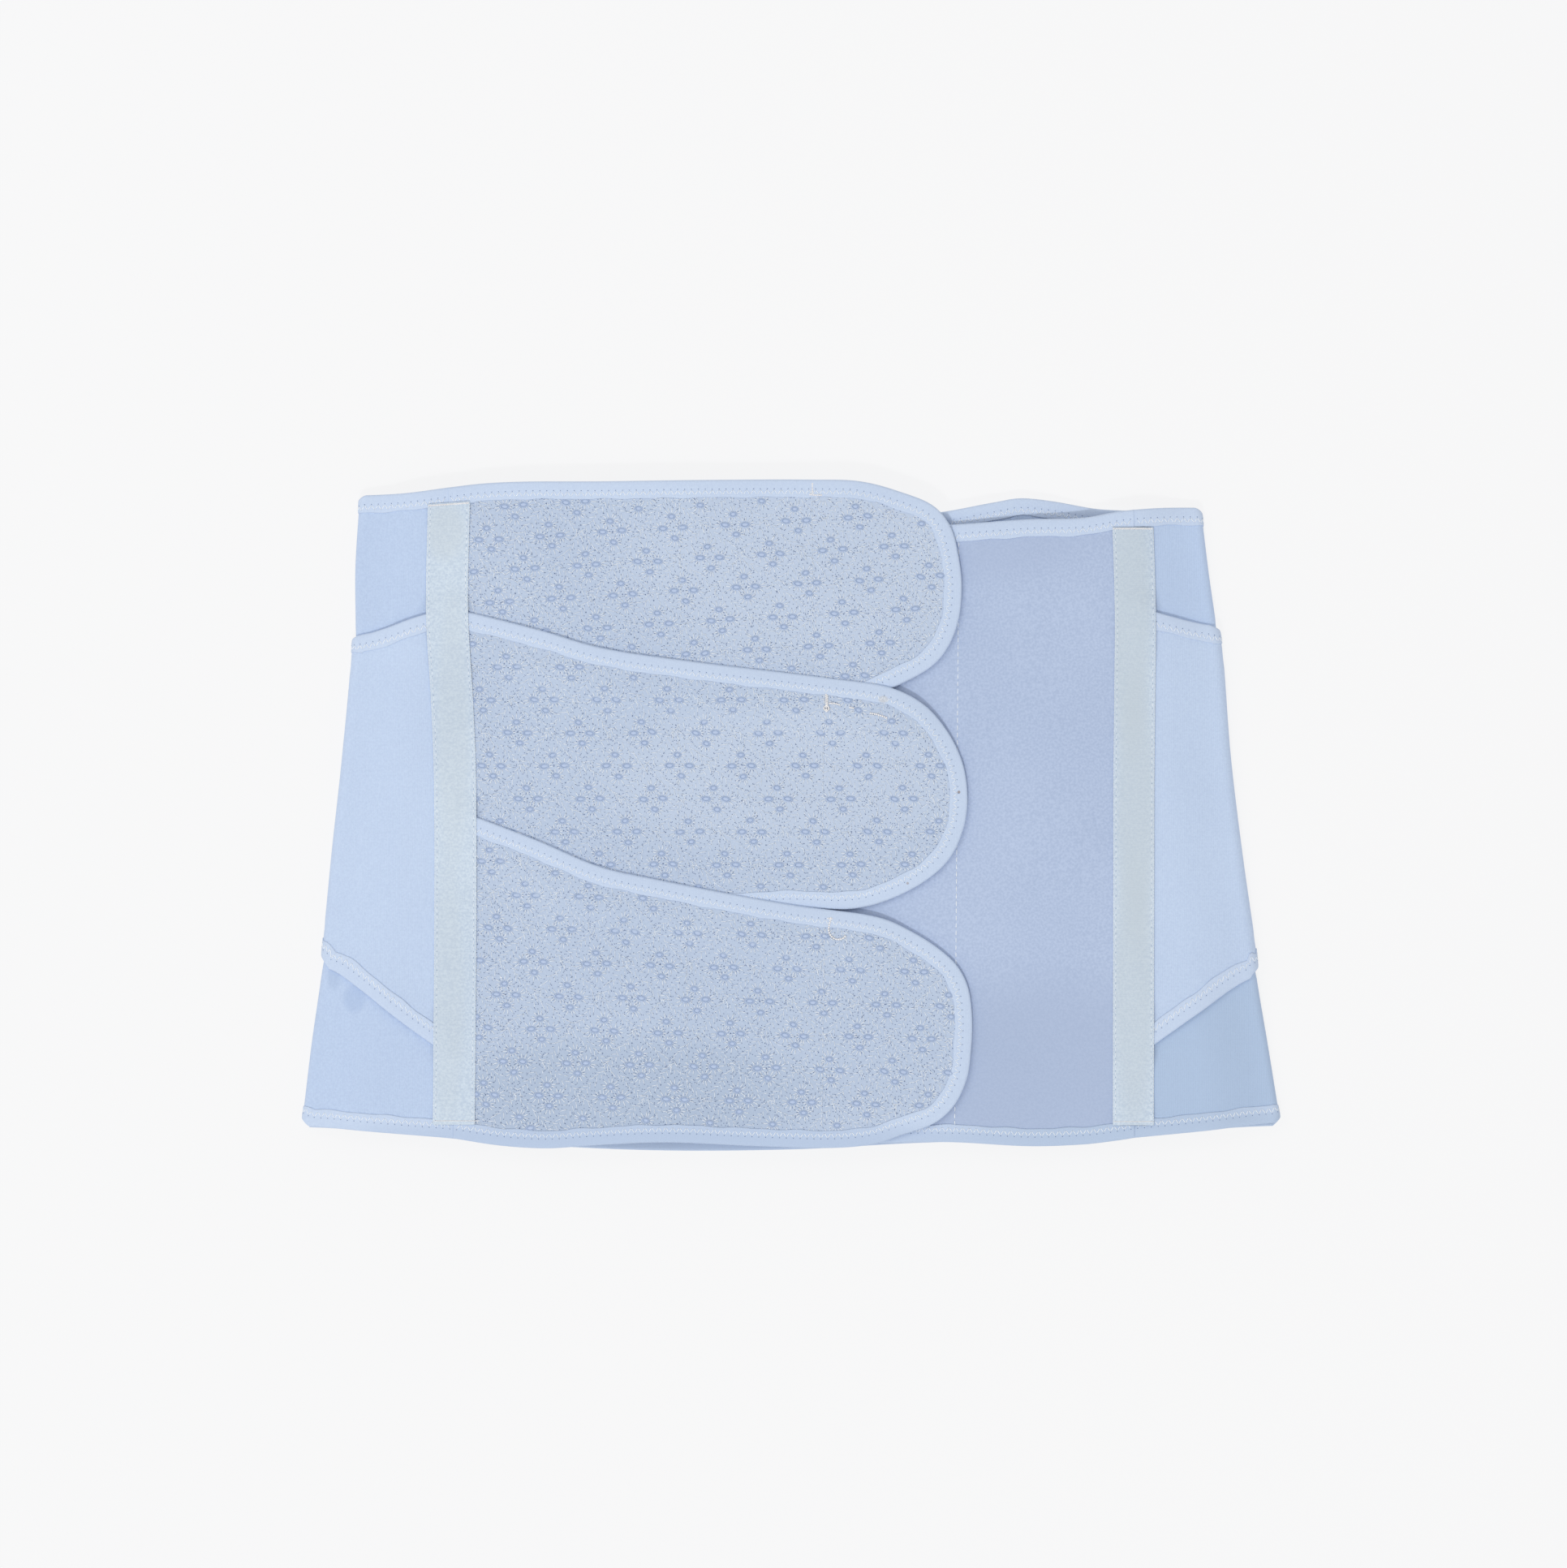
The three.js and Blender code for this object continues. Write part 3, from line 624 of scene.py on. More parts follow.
    def pad_place(self, along: Array, share: Array, off: Array) -> Array:
        """Place the hook pad under the tip, between the flap's edges.

        Args:
            along: Shares of the reach from the tape.
            share: Shares of the way from the low edge to the high one.
            off: Distances off the middle of the wall.

        Returns:
            Points, one a row.
        """
        from_top = HOOK_INSET if self.lap_end is None else FLAP_LAP + LAP_FALL
        low = HEIGHT * spline(self.bottom, "along", along, "up") + HOOK_INSET
        high = HEIGHT * spline(self.top, "along", along, "up") - from_top
        y = mix(low, high, share)
        x = tape_x(Side.LEFT, y) + along * FLAP_REACH
        return self.on_top(x, y, off - FLAP_WALL / 2 - GAP - HOOK_WALL / 2)

    def holds(self, x: Array, y: Array, margin: float) -> Array:
        """Say which points lie inside the outline by at least a margin.

        Args:
            x: Places across the binder.
            y: Heights up the binder.
            margin: How far inside the outline they have to be.

        Returns:
            True for each place inside.
        """
        ring = self.inset(np.arange(0, self.steps + 1, 2.0), margin)
        x0, y0 = ring[:, 0], ring[:, 1]
        x1, y1 = np.roll(x0, -1), np.roll(y0, -1)
        crosses = (y0 > y[:, None]) != (y1 > y[:, None])
        slope = (x1 - x0) / np.where(y1 == y0, 1e-9, y1 - y0)
        hit = crosses & (x[:, None] < x0 + slope * (y[:, None] - y0))
        return hit.sum(axis=1) % 2 == 1


class Wire:
    """A socket of a finish's shader, with operators that add Math nodes."""

    def __init__(self, tree: "Shader", socket: bpy.types.NodeSocket) -> None:
        """Keep the shader and the socket."""
        self.tree = tree
        self.socket = socket

    def _math(self, operation: str, *values: "Wire | float") -> "Wire":
        """Add one Math node and return its output."""
        return self.tree.node("ShaderNodeMath", {"operation": operation}, dict(enumerate(values)))

    def __add__(self, other: "Wire | float") -> "Wire":
        """Add."""
        return self._math("ADD", self, other)

    __radd__ = __add__

    def __sub__(self, other: "Wire | float") -> "Wire":
        """Subtract."""
        return self._math("SUBTRACT", self, other)

    def __rsub__(self, other: float) -> "Wire":
        """Subtract from a number."""
        return self._math("SUBTRACT", other, self)

    def __mul__(self, other: "Wire | float") -> "Wire":
        """Multiply."""
        return self._math("MULTIPLY", self, other)

    __rmul__ = __mul__

    def sine(self) -> "Wire":
        """Return the sine."""
        return self._math("SINE", self)

    def clamp(self) -> "Wire":
        """Keep the value within 0 and 1."""
        return self.tree.node("ShaderNodeClamp", {}, {0: self})

    def step(self, low: float, high: float) -> "Wire":
        """Rise smoothly from 0 at low to 1 at high."""
        sockets = {"Value": self, "From Min": low, "From Max": high}
        return self.tree.node("ShaderNodeMapRange", {"interpolation_type": "SMOOTHSTEP"}, sockets)


class Shader:
    """A finish's node tree, built in Python."""

    def __init__(self, name: str) -> None:
        """Start a material with a bare Principled shader.

        Args:
            name: The material's name.
        """
        self.material = bpy.data.materials.new(name)
        self.material.use_nodes = True
        self.tree = self.material.node_tree
        self.surface = self.tree.nodes["Principled BSDF"]
        self.place = self.node("ShaderNodeTexCoord", {}, {}, "Object")

    def node(self, kind: str, settings: dict, sockets: dict, output: int | str = 0) -> Wire:
        """Add a node.

        Args:
            kind: The node's type.
            settings: Its settings, by name, set first.
            sockets: Values or links of its sockets, by name or number.
            output: Which output to return.

        Returns:
            The output, wrapped.
        """
        node = self.tree.nodes.new(kind)
        for key, value in settings.items():
            setattr(node, key, value)
        for key, value in sockets.items():
            self.feed(node.inputs[key], value)
        return Wire(self, node.outputs[output])

    def feed(self, socket: bpy.types.NodeSocket, value: "Wire | float | tuple") -> None:
        """Link a wire to a socket, or set the socket's own value.

        Args:
            socket: The socket.
            value: A wire, a number or a colour.
        """
        if isinstance(value, Wire):
            self.tree.links.new(value.socket, socket)
        else:
            socket.default_value = value

    def axes(self) -> tuple[Wire, Wire, Wire]:
        """Return the three Object coordinates, in metres."""
        split = self.node("ShaderNodeSeparateXYZ", {}, {"Vector": self.place}).socket.node
        return tuple(Wire(self, output) for output in split.outputs)

    def noise(self, size: float, detail: float) -> Wire:
        """Return noise whose grain is about size metres."""
        sockets = {"Vector": self.place, "Scale": 1 / size, "Detail": detail}
        return self.node("ShaderNodeTexNoise", {}, sockets)

    def blend(self, share: "Wire | float", a: "Wire | tuple", b: "Wire | tuple") -> Wire:
        """Mix two colours."""
        return self.node("ShaderNodeMix", {"data_type": "RGBA"}, {0: share, 6: a, 7: b}, 2)

    def spot(self, x: float, y: float, wide: float, high: float, soft: float) -> Wire:
        """Return a soft oval mask on the front, 1 in its middle, placed in metres.

        Args:
            x: Its middle across.
            y: Its middle up.
            wide: Half its width.
            high: Half its height.
            soft: How soft its edge is, from 0 to 1.

        Returns:
            The mask.
        """
        ax, ay, _ = self.axes()
        dx = (ax - x) * (1 / wide)
        dy = (ay - y) * (1 / high)
        return 1 - (dx * dx + dy * dy).step(1 - soft, 1 + soft)

    def bump(self, height: Wire, depth: float) -> Wire:
        """Return a normal bent by a height, depth metres deep."""
        return self.node("ShaderNodeBump", {}, {"Height": height, "Distance": depth, "Strength": 1.0})

    def finish(self, colour: Wire, rough: float, sheen: float, normal: Wire) -> bpy.types.Material:
        """Set the surface and return the material.

        Args:
            colour: The colour.
            rough: The roughness.
            sheen: The sheen.
            normal: The bent normal.

        Returns:
            The material.
        """
        surface = {
            "Base Color": colour,
            "Roughness": rough,
            "Sheen Weight": sheen,
            "Sheen Roughness": SHEEN_ROUGH,
            "Specular IOR Level": CLOTH_GLOSS,
            "Normal": normal,
        }
        for name, value in surface.items():
            self.feed(self.surface.inputs[name], value)
        return self.material


def linear(red: int, green: int, blue: int) -> tuple[float, float, float, float]:
    """Turn a colour of 0 to 255 a channel into the linear one that shaders take.

    Args:
        red: The red channel.
        green: The green one.
        blue: The blue one.

    Returns:
        The colour, opaque.
    """
    parts = [c / 255 for c in (red, green, blue)]
    light = [c / 12.92 if c <= 0.04045 else ((c + 0.055) / 1.055) ** 2.4 for c in parts]
    return (*light, 1.0)


class Weave(Enum):
    """How a cloth's threads run. A plain one shows only its grain."""

    JERSEY = "jersey"
    RIB = "rib"
    PLAIN = "plain"


@dataclass(frozen=True)
class Finish:
    """A cloth finish: its colours and its weave."""

    name: str
    colour: tuple[int, int, int]
    shade: tuple[int, int, int]
    weave: Weave
    pitch: float = 0.0006
    depth: float = 0.00006
    rough: float = 0.92
    sheen: float = 0.12
    # Soft ovals of colour: real spots and discolouring, and painted shade and painted light where light
    # falls unevenly. Each is a photo column and row, half its width and height in metres, a colour and a
    # strength
    stains_and_painted_light: tuple[tuple[float, float, float, float, tuple[int, int, int], float], ...] = ()

    def height(self, shader: Shader) -> Wire:
        """Return the weave's height field.

        Args:
            shader: The finish's shader.

        Returns:
            The height, about 0 in the middle.
        """
        x, y, _ = shader.axes()
        turn = 2 * math.pi / self.pitch
        wander = shader.noise(0.006, 2.0) * 5.0
        match self.weave:
            case Weave.JERSEY:
                wales = (x * turn + wander).sine()
                rows = (y * (turn * 1.25) + (x * turn).sine() * 1.4 + wander).sine()
                return wales * 0.5 + rows * 0.4 + shader.noise(0.0009, 3.0)
            case Weave.RIB:
                return (x * turn + wander * 0.3).sine() * 0.5 + shader.noise(0.0007, 3.0)
            case _:
                return shader.noise(0.0008, 4.0)

    def material(self) -> bpy.types.Material:
        """Build the finish's material.

        Returns:
            The material.
        """
        shader = Shader(self.name)
        height = self.height(shader)
        cloud = shader.noise(0.06, 2.0)
        grain = shader.noise(0.0011, 3.0)
        share = (cloud.step(0.3, 0.7) * 0.25 + grain.step(0.3, 0.7) * 0.75).clamp()
        colour = shader.blend(share, linear(*self.shade), linear(*self.colour))
        # Blend in the ovals of discolouring and of painted shade and light, one at a time
        for px, py, wide, high, stain_and_painted_light_colour, strength in self.stains_and_painted_light:
            x, y = from_photo(px, py)
            mask = shader.spot((x + ORIGIN[0]) * METRE, (y + ORIGIN[1]) * METRE, wide, high, 0.7)
            colour = shader.blend(mask * strength, colour, linear(*stain_and_painted_light_colour))
        return shader.finish(colour, self.rough, self.sheen, shader.bump(height, self.depth))


@dataclass(frozen=True)
class EyeletFinish:
    """The cloth of an eyelet, with painted shade at the foot of its rim."""

    name: str
    colour: tuple[int, int, int]
    # The colour of the painted shade at the rim's foot
    foot: tuple[int, int, int]

    def material(self) -> bpy.types.Material:
        """Build the finish's material, its painted shade read from the points' attribute.

        Returns:
            The material.
        """
        shader = Shader(self.name)
        painted_lightness = shader.node("ShaderNodeAttribute", {"attribute_name": "painted_lightness"}, {}, 2)
        colour = shader.blend(painted_lightness.clamp(), linear(*self.foot), linear(*self.colour))
        return shader.finish(colour, 0.9, 0.1, shader.bump(shader.noise(0.0006, 3.0), 0.00003))


# Knit ovals: painted shade beside the left overlay's low hem, painted light lifting the shade on the right
# above the overlay band, and painted shade towards the bottom right, where less light falls
KNIT = Finish("knit jersey", (199, 217, 244), (190, 208, 237), Weave.JERSEY,
              stains_and_painted_light=((437, 1231, 0.0050, 0.0060, (168, 190, 226), 0.42),
                     (412, 1203, 0.0030, 0.0060, (168, 188, 219), 0.35),
                     (1475, 700, 0.024, 0.045, (193, 214, 245), 0.35),
                     (1500, 1310, 0.060, 0.050, (178, 199, 227), 0.75)))
OVERLAY_KNIT = Finish("overlay jersey", (204, 221, 246), (196, 213, 240), Weave.JERSEY)
# Binding ovals: a pale spot and two small dark spots, and painted shade along the low hems, where they curve
# down away from the light
BINDING = Finish("folded binding", (203, 218, 240), (198, 213, 237), Weave.RIB, 0.0007, 0.00004,
                 stains_and_painted_light=((1088, 862, 0.0022, 0.0016, (206, 205, 205), 0.6),
                        (1181, 976, 0.0007, 0.0007, (150, 135, 130), 0.8),
                        (1118, 1088, 0.0006, 0.0006, (165, 155, 155), 0.7),
                        (1460, 1398, 0.095, 0.013, (180, 198, 223), 0.75),
                        (800, 1420, 0.200, 0.014, (182, 199, 225), 0.75)))
# Ground ovals: paler on the middle and upper flaps, darker near the lower flap's low hem
GROUND = Finish("embroidered ground", (192, 206, 227), (183, 198, 221), Weave.PLAIN, depth=0.00008,
                stains_and_painted_light=((960, 960, 0.080, 0.032, (204, 216, 234), 0.4),
                       (1010, 700, 0.090, 0.040, (206, 218, 236), 0.35),
                       (760, 1350, 0.090, 0.026, (168, 184, 206), 0.45)))
# Fleece ovals: darker towards the bottom right and along the top hem
FLEECE = Finish("loop fleece", (189, 204, 231), (173, 189, 218), Weave.PLAIN, depth=0.0001, sheen=0.2,
                stains_and_painted_light=((1290, 1350, 0.075, 0.055, (171, 186, 214), 0.6),
                       (1190, 650, 0.060, 0.024, (174, 189, 218), 0.5)))
ELASTIC = Finish("woven elastic", (214, 227, 239), (191, 206, 224), Weave.PLAIN, depth=0.00006,
                 stains_and_painted_light=((1391, 760, 0.0095, 0.060, (197, 208, 216), 0.55),
                        (1399, 1000, 0.0085, 0.060, (197, 208, 217), 0.55),
                        (1396, 1220, 0.0090, 0.060, (196, 207, 216), 0.5),
                        (549, 655, 0.0090, 0.013, (202, 211, 217), 0.4),
                        (559, 900, 0.0070, 0.060, (203, 213, 220), 0.3),
                        (552, 1230, 0.0075, 0.055, (203, 213, 220), 0.3)))
SELVEDGE = Finish("tape selvedge", (238, 243, 248), (224, 232, 241), Weave.PLAIN, depth=0.00003)
HOOKS = Finish("hook tape", (190, 202, 222), (180, 193, 215), Weave.RIB, 0.0012, 0.0002)
THREAD = Finish("embroidery thread", (232, 239, 248), (214, 224, 238), Weave.PLAIN, depth=0.00003)
ZIGZAG = Finish("zigzag thread", (246, 250, 254), (232, 240, 250), Weave.PLAIN, depth=0.00003)
WHITE = Finish("white thread", (252, 250, 248), (238, 237, 240), Weave.PLAIN, depth=0.00003)
HOLE = Finish("needle holes", (128, 147, 184), (112, 131, 170), Weave.PLAIN, depth=0.00002, sheen=0.0)
# Needle holes in the embroidery; the same dark finish paints shade between its threads
NEEDLE_HOLES_AND_PAINTED_SHADE = Finish("embroidery needle holes and painted shade", (108, 124, 163), (94, 110, 150), Weave.PLAIN,
               depth=0.00002, sheen=0.0)
# Eyelet cloth; its foot colour is painted shade on the rim
PETAL = EyeletFinish("eyelet cloth", (190, 205, 231), (152, 171, 203))


def to_row(points: Array) -> Array:
    """Move millimetres of the part's source into the row frame, in metres."""
    return (points + ORIGIN) * METRE


def linked(name: str, data: bpy.types.ID) -> bpy.types.Object:
    """Put a mesh, a lamp or a camera into the scene.

    Args:
        name: The object's name.
        data: The mesh, lamp or camera.

    Returns:
        The object.
    """
    thing = bpy.data.objects.new(name, data)
    bpy.context.scene.collection.objects.link(thing)
    return thing


def modelled(name: str, bm: bmesh.types.BMesh) -> bpy.types.Object:
    """Make a piece of a finished bmesh, and free it.

    Args:
        name: The piece's name.
        bm: The bmesh.

    Returns:
        The piece.
    """
    mesh = bpy.data.meshes.new(name)
    bm.to_mesh(mesh)
    bm.free()
    return linked(name, mesh)


def laid_cloth(
    name: str, us: Array, vs: Array, place: Place, wall: float, weld: bool = False
) -> bpy.types.Object:
    """Lay a fine grid over a form and give it a wall, with a narrow row at each end so that it ends crisply.

    Args:
        name: The piece's name.
        us: Places along the form.
        vs: Places across it.
        place: Gives the points for places along, across and off the form.
        wall: The wall's thickness.
        weld: Whether points that fall together are joined.

    Returns:
        The piece.
    """
    us = np.concatenate([us[:1], [mix(us[0], us[1], 0.1)], us[1:-1], [mix(us[-1], us[-2], 0.1)], us[-1:]])
    bm = bmesh.new()
    bmesh.ops.create_grid(bm, x_segments=len(us) - 1, y_segments=len(vs) - 1, size=1.0)
    flat = np.array([vert.co[:2] for vert in bm.verts])
    u = np.interp((flat[:, 0] + 1) / 2 * (len(us) - 1), np.arange(len(us)), us)
    v = np.interp((flat[:, 1] + 1) / 2 * (len(vs) - 1), np.arange(len(vs)), vs)
    points = to_row(place(u, v, np.zeros(len(u))))
    for vert, co in zip(bm.verts, points):
        vert.co = co
    if weld:
        bmesh.ops.remove_doubles(bm, verts=bm.verts[:], dist=WELD)
    for face in bm.faces:
        face.smooth = True
    piece = modelled(name, bm)
    solid = piece.modifiers.new("wall", "SOLIDIFY")
    solid.thickness = wall * METRE
    solid.offset = 0
    solid.use_even_offset = False
    return piece


def binding_profile(wall: float) -> tuple[Array, Array]:
    """Draw the middle line of a folded binding's section.

    Args:
        wall: The cloth's wall that it folds over.

    Returns:
        Distances in from the edge, and off the cloth's middle.
    """
    face = half_binding(wall) - BINDING_PLY / 2
    leg, puff = (np.array(BINDING_FACE[key]) for key in ("inset", "puff"))
    turn = np.linspace(math.pi / 2, -math.pi / 2, len(leg))
    inset = np.concatenate([leg, TURN_MIDDLE - TURN_DEPTH * np.cos(turn), leg[::-1]])
    off = np.concatenate([face + puff, face * np.sin(turn), -(face + puff)[::-1]])
    return inset, off


def folded_binding(name: str, stations: Array, wall: float, place: Place) -> bpy.types.Object:
    """Fold a knit strip over an edge.

    Args:
        name: The piece's name.
        stations: Places along the edge.
        wall: The cloth's wall.
        place: Gives points for places along, in from and off the edge.

    Returns:
        The piece.
    """
    inset, off = binding_profile(wall)
    index = np.arange(len(inset), dtype=float)
    run = distances(place(stations, np.full(len(stations), 4.0), np.zeros(len(stations))))

    def fold(u: Array, v: Array, _: Array) -> Array:
        """Place the strip's points round the fold, its inner edge a little uneven."""
        length = np.interp(u, stations, run)
        uneven = sum(depth * np.sin(length / wave + phase) for depth, wave, phase in UNEVEN)
        inward = np.interp(v, index, inset)
        return place(u, inward + uneven * smooth((inward - 5.0) / 3.0), np.interp(v, index, off))

    return laid_cloth(name, stations, index, fold, BINDING_PLY)


class Bead(Enum):
    """Small shapes that stitches are made of."""

    STITCH = (4, 3)
    DOT = (5, 2)
    EYELET = (10, 6)


class Stitching:
    """Many like stitches, gathered into one piece."""

    def __init__(self, bead: Bead) -> None:
        """Start without stitches."""
        self.bead = bead
        self.blocks: list[Array] = []

    def add(self, start: Array, end: Array, up: Array, width: float, height: float) -> None:
        """Lay stitches from starts to ends.

        Args:
            start: Their first ends.
            end: Their other ends.
            up: Directions away from the cloth, or one for all.
            width: Their width.
            height: Their height.
        """
        if len(start) == 0:
            return
        run = end - start
        side = np.cross(up, run)
        side /= np.maximum(np.linalg.norm(side, axis=1, keepdims=True), 1e-9)
        up = np.cross(run, side)
        up /= np.maximum(np.linalg.norm(up, axis=1, keepdims=True), 1e-9)
        middle = (start + end) / 2
        self.blocks.append(np.stack([middle, run / 2, side * width / 2, up * height / 2], axis=1))

    def template(self) -> tuple[Array, Array, Array]:
        """Make the bead, its long axis along x.

        Returns:
            Its points, its triangles and each point's painted shade, from 0 for the darkest to 1 for none.
        """
        rings, levels = self.bead.value
        bm = bmesh.new()
        bmesh.ops.create_uvsphere(bm, u_segments=rings, v_segments=levels, radius=1.0)
        if self.bead is not Bead.EYELET:
            quarter = Matrix.Rotation(math.pi / 2, 3, "Y")
            bmesh.ops.rotate(bm, verts=bm.verts[:], cent=(0, 0, 0), matrix=quarter)
        bmesh.ops.triangulate(bm, faces=bm.faces[:])
        bm.verts.ensure_lookup_table()
        points = np.array([vert.co[:] for vert in bm.verts])
        faces = np.array([[vert.index for vert in face.verts] for face in bm.faces])
        bm.free()
        if self.bead is not Bead.EYELET:
            return points, faces, np.ones(len(points))
        share = np.arccos(np.clip(points[:, 2], -1, 1)) / math.pi
        keys = ("radius", "height", "painted_lightness")
        radius, height, painted_lightness = (np.interp(share, DISH["share"], DISH[key]) for key in keys)
        points[:, :2] *= (radius / np.maximum(np.hypot(points[:, 0], points[:, 1]), 1e-6))[:, None]
        points[:, 2] = height
        return points, faces, painted_lightness

    def build(self, name: str) -> bpy.types.Object:
        """Make the piece.

        Args:
            name: Its name.

        Returns:
            One mesh of all the stitches.
        """
        points, faces, painted_lightness = self.template()
        rows = np.concatenate(self.blocks)
        count, n = len(rows), len(points)
        placed = rows[:, None, 0] + np.einsum("pk,skc->spc", points, rows[:, 1:])
        placed = to_row(placed.reshape(-1, 3))
        corners = (faces[None] + np.arange(count)[:, None, None] * n).reshape(-1)
        mesh = bpy.data.meshes.new(name)
        mesh.vertices.add(len(placed))
        mesh.vertices.foreach_set("co", placed.astype(np.float32).ravel())
        mesh.loops.add(len(corners))
        mesh.loops.foreach_set("vertex_index", corners.astype(np.int32))
        mesh.polygons.add(len(corners) // 3)
        mesh.polygons.foreach_set("loop_start", np.arange(0, len(corners), 3, dtype=np.int32))
        mesh.polygons.foreach_set("use_smooth", np.ones(len(corners) // 3, dtype=bool))
        mesh.update(calc_edges=True)
        # Each point's painted shade, which only the eyelet finish reads
        layer = mesh.attributes.new("painted_lightness", "FLOAT", "POINT")
        layer.data.foreach_set("value", np.tile(painted_lightness, count).astype(np.float32))
        return linked(name, mesh)


def paced(line: Callable[[Array], Array], low: float, high: float, pitch: float) -> Array:
    """Find places at even distances along a line.

    Args:
        line: Gives points for places along it.
        low: The first place.
        high: The last one.
        pitch: The distance between places.

    Returns:
        The places.
    """
    at = np.linspace(low, high, PACE_STEPS)
    run = distances(line(at))
    return np.interp(np.arange(pitch, run[-1] - pitch / 2, pitch), run, at)


def dress(
    piece: bpy.types.Object, material: bpy.types.Material, slot: str, *nodes: str
) -> bpy.types.Object:
    """Give a piece its material and its body, and hide the nodes that it stands for.

    Args:
        piece: The piece.
        material: Its material.
        slot: Not used.
        nodes: The nodes that it replaces.

    Returns:
        The piece.
    """
    piece.data.materials.clear()
    piece.data.materials.append(material)
    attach(piece, "root")
    if nodes:
        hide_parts(*nodes)
    LOG.info("%s: %d faces", piece.name, len(piece.data.polygons))
    return piece


@dataclass
class Wardrobe:
    """The materials, each made once."""

    made: dict[str, bpy.types.Material] = field(default_factory=dict)

    def of(self, finish: Finish | EyeletFinish) -> bpy.types.Material:
        """Return a finish's material.

        Args:
            finish: The finish.

        Returns:
            Its material.
        """
        if finish.name not in self.made:
            self.made[finish.name] = finish.material()
        return self.made[finish.name]


@dataclass
class EdgeStitches:
    """The zigzag and the needle holes along a binding."""

    wardrobe: Wardrobe
    pitch: float = 3.2
    outer: float = 4.6
    inner: float = 7.1
    width: float = 0.48
    height: float = 0.5
    gap: float = 0.04
    hole_inset: float = 4.3
    hole_lift: float = 0.06
    hole_reach: float = 0.3

    def sew(
        self, name: str, place: Place, wall: float, low: float, high: float, outward: int = 1
    ) -> list[bpy.types.Object]:
        """Sew one binding.

        Args:
            name: The start of the pieces' names.
            place: Gives points along, in from and off the edge.
            wall: The cloth's wall.
            low: The first place along the edge.
            high: The last one.
            outward: 1 for the outer face, -1 for the inner one.

        Returns:
            The zigzag and its holes.
        """
        face = outward * half_binding(wall)

        def put(u: Array, inset: Array | float, off: float) -> Array:
            """Place points a way in from the edge and off the cloth."""
            return place(u, np.full_like(u, inset), np.full_like(u, off))

        at = paced(lambda u: put(u, self.outer, face), low, high, self.pitch / 2)
        inset = np.where(np.arange(len(at)) % 2 == 0, self.outer, self.inner)
        points = put(at, inset, face)
        up = put(at, inset, face + outward) - points
        start = mix(points[:-1], points[1:], self.gap)
        end = mix(points[:-1], points[1:], 1 - self.gap)
        zigzag = Stitching(Bead.STITCH)
        zigzag.add(start, end, up[:-1], self.width, self.height)
        even = at[::2]
        spot = put(even, self.hole_inset, face + self.hole_lift * outward)
        along = put(even + 1e-4, self.hole_inset, face + self.hole_lift * outward) - spot
        along *= self.hole_reach / np.linalg.norm(along, axis=1, keepdims=True)
        lift = put(even, self.hole_inset, face + outward) - put(even, self.hole_inset, face)
        holes = Stitching(Bead.DOT)
        holes.add(spot - along, spot + along, lift, 0.5, HOLE_DEPTH)
        return [
            dress(zigzag.build(f"{name}_zigzag"), self.wardrobe.of(ZIGZAG), "binding"),
            dress(holes.build(f"{name}_holes"), self.wardrobe.of(HOLE), "binding"),
        ]


def bound_edge(
    name: str, stations: Array, wall: float, place: Place, wardrobe: Wardrobe, end: float
) -> list[bpy.types.Object]:
    """Bind a cloth's edge and sew the binding.

    Args:
        name: The start of the pieces' names and of the binding's node.
        stations: Places along the edge, from 0.
        wall: The cloth's wall.
        place: Gives points along, in from and off the edge.
        wardrobe: The materials.
        end: The last place that is sewn.

    Returns:
        The binding, its zigzag and its holes.
    """
    strip = folded_binding(f"{name}_hem", stations, wall, place)
    dress(strip, wardrobe.of(BINDING), "binding", f"{name}_binding")
    return [strip, *EdgeStitches(wardrobe).sew(name, place, wall, 0, end)]


@dataclass
class Body:
    """The knit wrap with its two bound hems."""

    wrap: Wrap
    wardrobe: Wardrobe
    rows: int = 110
    mouth: tuple[float, float] = (2.05, 2.95)

    def place(self, at: Array, share: Array, off: Array) -> Array:
        """Place the cloth between its hems."""
        low, high = (rim_y(BODY_HEMS, at, column, SLOT) for column in ("low", "high"))
        return self.wrap.point(at, mix(low, high, share), off)

    def edge(self, column: str, at: Array, inset: Array, off: Array) -> Array:
        """Place a binding in from its hem."""
        return self.wrap.point(at, rim_y(BODY_HEMS, at, column, inset), off)

    def build(self) -> None:
        """Lay the cloth, bind it, and sew the inside of the mouth, which shows."""
        shares = np.linspace(0, 1, self.rows)
        cloth = laid_cloth("body_cloth", Wrap.stations(*CLOTH_STEPS), shares, self.place, BODY_WALL)
        dress(cloth, self.wardrobe.of(KNIT), "knit", "body_panel")
        hems = []
        for column, side in HEMS.items():
            edge = partial(self.edge, column)
            stations = Wrap.stations(*HEM_STEPS)
            hems += bound_edge(f"body_{side}", stations, BODY_WALL, edge, self.wardrobe, LEGS)
            if column == "high":
                stitches = EdgeStitches(self.wardrobe)
                hems += stitches.sew("body_mouth", edge, BODY_WALL, *self.mouth, outward=-1)
        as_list(hems)


